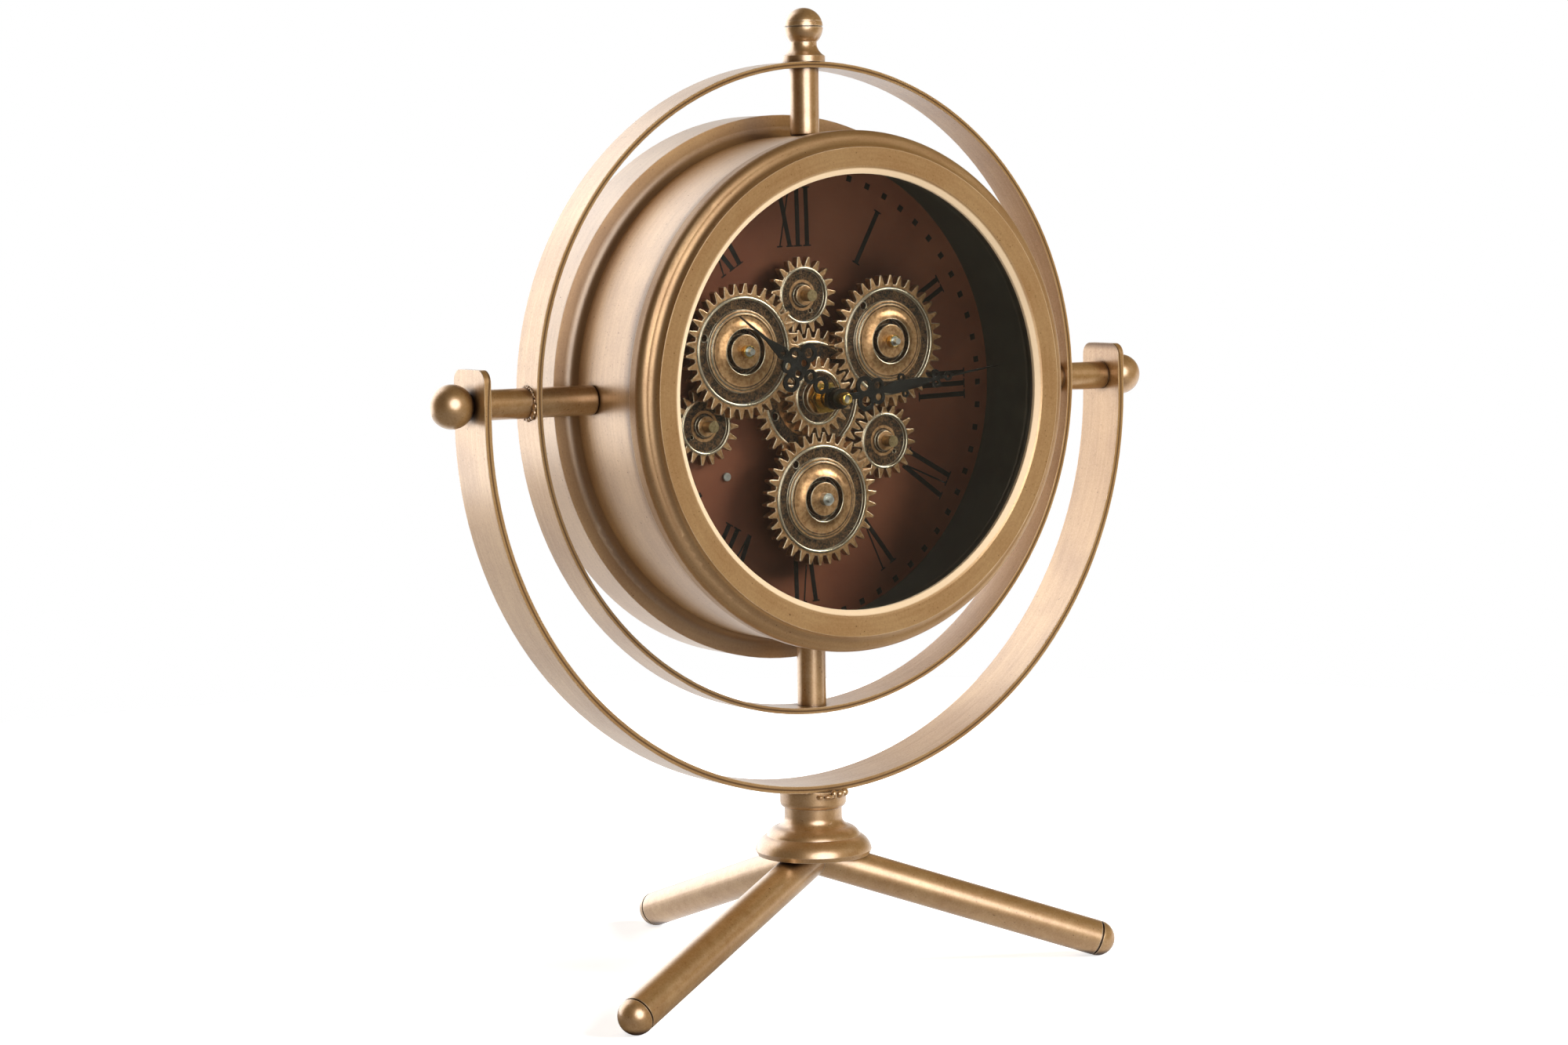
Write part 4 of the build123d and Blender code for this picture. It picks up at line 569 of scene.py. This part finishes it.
def figure_shapes(figure, mirrored=False):
    """Corner lists of one Roman figure, centred on its own width."""
    shapes, pen = [], 0.0
    for letter in figure:
        if letter == "I":
            width = 4.6
            strokes = bar(0, 0, thick, 0.9)
        elif letter == "V":
            width = 8.8
            strokes = bar(-2.9, 0.1, thick, 0.9)[:1] + bar(3.1, 0.5, thin, 0.9)[:1]
            under = figure_height - serif
            for middle, over in ((-2.9, 1.8), (3.1, 1.3)):
                strokes.append([(middle - over, under), (middle + over, under),
                                (middle + over, figure_height), (middle - over, figure_height)])
        else:
            width = 8.4
            strokes = bar(-2.4, 2.5, thick, 0.7) + bar(2.6, -2.6, thin, 1.0)
        if letter == "V" and mirrored:
            strokes = [[(-u, v) for u, v in reversed(corners)] for corners in strokes]
        shapes += [[(u + pen + width / 2, v) for u, v in corners] for corners in strokes]
        pen += width
    return [[(u - pen / 2, v) for u, v in corners] for corners in shapes]


figures = ["XII", "I", "II", "III", "IV", "V", "VI", "VII", "VIII", "IX", "X", "XI"]
ink = bmesh.new()
for hour, figure in enumerate(figures):
    turn = radians(30 * hour) + print_turn
    outward, along = Vector((sin(turn), 0, cos(turn))), Vector((cos(turn), 0, -sin(turn)))
    for layer, corners in enumerate(figure_shapes(figure, mirrored=figure == "IV")):
        base = [(ARBOR + along * u + outward * (foot_radius + v)) * MM for u, v in corners]
        front = dial_face - print_depth - 0.004 * layer
        ring = [[ink.verts.new((p.x, y * MM, p.z)) for p in base] for y in (front, dial_face - 0.002)]
        ink.faces.new(ring[0])
        ink.faces.new(ring[1][::-1])
        for i in range(len(base)):
            j = (i + 1) % len(base)
            ink.faces.new((ring[0][i], ring[1][i], ring[1][j], ring[0][j]))


def piece(name, source, body, material):
    """Make an object from a bmesh, let it ride on a body and take its slot."""
    mesh = bpy.data.meshes.new(name)
    source.to_mesh(mesh)
    source.free()
    mesh.materials.append(material)
    made = bpy.data.objects.new(name, mesh)
    bpy.context.scene.collection.objects.link(made)
    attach(made, body)
    print(name, len(mesh.polygons), "faces on", body)


bmesh.ops.recalc_face_normals(ink, faces=ink.faces[:])
printing = grained_finish("black_dial_ink", "#0f0d0c", "#1a1715", 1.2, 0.0, 0.5, 0.65, 0.1)
piece("hour_figures", ink, "head", printing)

# %% [markdown]
# Sixty square dots mark the minutes. They repeat round a circle, so Geometry Nodes places one small printed
# square on every point of it, each turned to face the middle.

# %% Minute dots
def node_tree(name, sizes):
    """A geometry tree with named inputs, and the identifier of each."""
    tree = bpy.data.node_groups.new(name, "GeometryNodeTree")
    tree.interface.new_socket("Geometry", in_out="OUTPUT", socket_type="NodeSocketGeometry")
    names = {}
    for label, kind in sizes.items():
        socket = tree.interface.new_socket(label, in_out="INPUT", socket_type="NodeSocket" + kind)
        names[label] = socket.identifier
    return tree, names, add(tree, "NodeGroupInput").outputs


def grown(name, tree, names, values, place, body):
    """Run a geometry tree, turn the result into a plain mesh at its place and let it ride on a body."""
    holder = bpy.data.objects.new(name + "_holder", bpy.data.meshes.new(name + "_holder"))
    bpy.context.scene.collection.objects.link(holder)
    modifier = holder.modifiers.new("grow", "NODES")
    modifier.node_group = tree
    for label, value in values.items():
        modifier[names[label]] = value
    bpy.context.view_layer.update()
    evaluated = holder.evaluated_get(bpy.context.evaluated_depsgraph_get())
    mesh = bpy.data.meshes.new_from_object(evaluated)
    mesh.name = name
    holder.modifiers.remove(modifier)
    bpy.data.objects.remove(holder)
    mesh.transform(place)
    made = bpy.data.objects.new(name, mesh)
    bpy.context.scene.collection.objects.link(made)
    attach(made, body)
    print(name, len(mesh.polygons), "faces on", body)


dot_tree, names, given = node_tree("minute_dots", {
    "Count": "Int", "Radius": "Float", "Side": "Float", "Thickness": "Float", "Ink": "Material"})
circle = add(dot_tree, "GeometryNodeMeshCircle", {"Vertices": given["Count"], "Radius": given["Radius"]})
size = add(dot_tree, "ShaderNodeCombineXYZ", {0: given["Side"], 1: given["Side"], 2: given["Thickness"]})
square = add(dot_tree, "GeometryNodeMeshCube", {"Size": size.outputs[0]})
where = add(dot_tree, "GeometryNodeInputPosition").outputs[0]
facing = add(dot_tree, "FunctionNodeAlignRotationToVector", {"Vector": where}, axis="Y", pivot_axis="Z")
dots = add(dot_tree, "GeometryNodeInstanceOnPoints", {
    "Points": circle.outputs[0], "Instance": square.outputs[0], "Rotation": facing.outputs[0]})
real = add(dot_tree, "GeometryNodeRealizeInstances", {0: dots.outputs[0]})
inked = add(dot_tree, "GeometryNodeSetMaterial", {"Geometry": real.outputs[0], "Material": given["Ink"]})
add(dot_tree, "NodeGroupOutput", {0: inked.outputs[0]})
onto_dial = Matrix.Translation(Vector((ARBOR.x, dial_face - print_depth / 2, ARBOR.z)) * MM)
upright = onto_dial @ Matrix.Rotation(print_turn, 4, "Y") @ Matrix.Rotation(radians(90), 4, "X")
grown("minute_dots", dot_tree, names, {
    "Count": 60, "Radius": 93.3 * MM, "Side": 2.5 * MM, "Thickness": print_depth * MM, "Ink": printing},
    upright, "head")

# %% [markdown]
# The stand and the ring were welded by hand and sprayed over, so lumps show at the joints. A weld is a row
# of round beads along an arc; their sizes vary, so Geometry Nodes strings uneven balls on the arc with a
# fixed seed. A few larger drips sit on the collar and at the foot of the left tube.

# %% Welds
weld_tree, names, given = node_tree("weld", {
    "Beads": "Int", "Radius": "Float", "Start": "Float", "Sweep": "Float", "Bead": "Float", "Seed": "Int",
    "Finish": "Material"})
arc = add(weld_tree, "GeometryNodeCurveArc", {
    "Resolution": 64, "Radius": given["Radius"], "Start Angle": given["Start"],
    "Sweep Angle": given["Sweep"]})
spots = add(weld_tree, "GeometryNodeCurveToPoints", {"Curve": arc.outputs["Curve"], "Count": given["Beads"]})
spread = add(weld_tree, "FunctionNodeRandomValue", {
    0: (-0.25, -0.25, -0.25), 1: (0.25, 0.25, 0.25), "Seed": given["Seed"]}, data_type="FLOAT_VECTOR")
shift = add(weld_tree, "ShaderNodeVectorMath", {0: spread.outputs[0], "Scale": given["Bead"]},
            operation="SCALE")
moved = add(weld_tree, "GeometryNodeSetPosition", {
    "Geometry": spots.outputs["Points"], "Offset": shift.outputs[0]})
ball = add(weld_tree, "GeometryNodeMeshIcoSphere", {"Radius": given["Bead"], "Subdivisions": 3})
uneven = add(weld_tree, "FunctionNodeRandomValue", {
    0: (0.6, 0.6, 0.5), 1: (1.25, 1.25, 1.0), "Seed": given["Seed"]}, data_type="FLOAT_VECTOR")
beads = add(weld_tree, "GeometryNodeInstanceOnPoints", {
    "Points": moved.outputs[0], "Instance": ball.outputs[0], "Scale": uneven.outputs[0]})
real = add(weld_tree, "GeometryNodeRealizeInstances", {0: beads.outputs[0]})
smooth = add(weld_tree, "GeometryNodeSetShadeSmooth", {0: real.outputs[0]})
coated = add(weld_tree, "GeometryNodeSetMaterial", {
    "Geometry": smooth.outputs[0], "Material": given["Finish"]})
add(weld_tree, "NodeGroupOutput", {0: coated.outputs[0]})

ring_radius, collar_radius, yoke_foot = 134.0, 13.8, 78.5
welds = {}
for label, sign in (("right", 1), ("left", -1)):
    tube_place = GIMBAL + Vector((sign * ring_radius * MM, 0, 0))
    tube_foot = Matrix.Translation(tube_place) @ Matrix.Rotation(pi / 2, 4, "Y")
    welds["tube_weld_" + label] = (tube_foot, "head", 28, 6.2, 0, 350, 0.85)
    collar_top = Matrix.Translation(Vector((0, 0, yoke_foot + 0.4)) * MM)
    welds["collar_weld_" + label] = (collar_top, "stand", 14, collar_radius, 90 - 90 * sign - 52, 104, 1.0)
# The loop ends on the left, so tube_foot is now the left tube's
welds["tube_drip_left"] = (tube_foot, "head", 4, 6.4, 278, 36, 1.5)
collar_front = Matrix.Translation(Vector((0, 0, yoke_foot - 1.3)) * MM)
welds["collar_drips"] = (collar_front, "stand", 5, collar_radius, 248, 54, 1.9)
for seed, (name, (place, body, count, radius, start, sweep, bead)) in enumerate(welds.items()):
    grown(name, weld_tree, names, {
        "Beads": count, "Radius": radius * MM, "Start": radians(start), "Sweep": radians(sweep),
        "Bead": bead * MM, "Seed": seed, "Finish": plain_gold}, place, body)
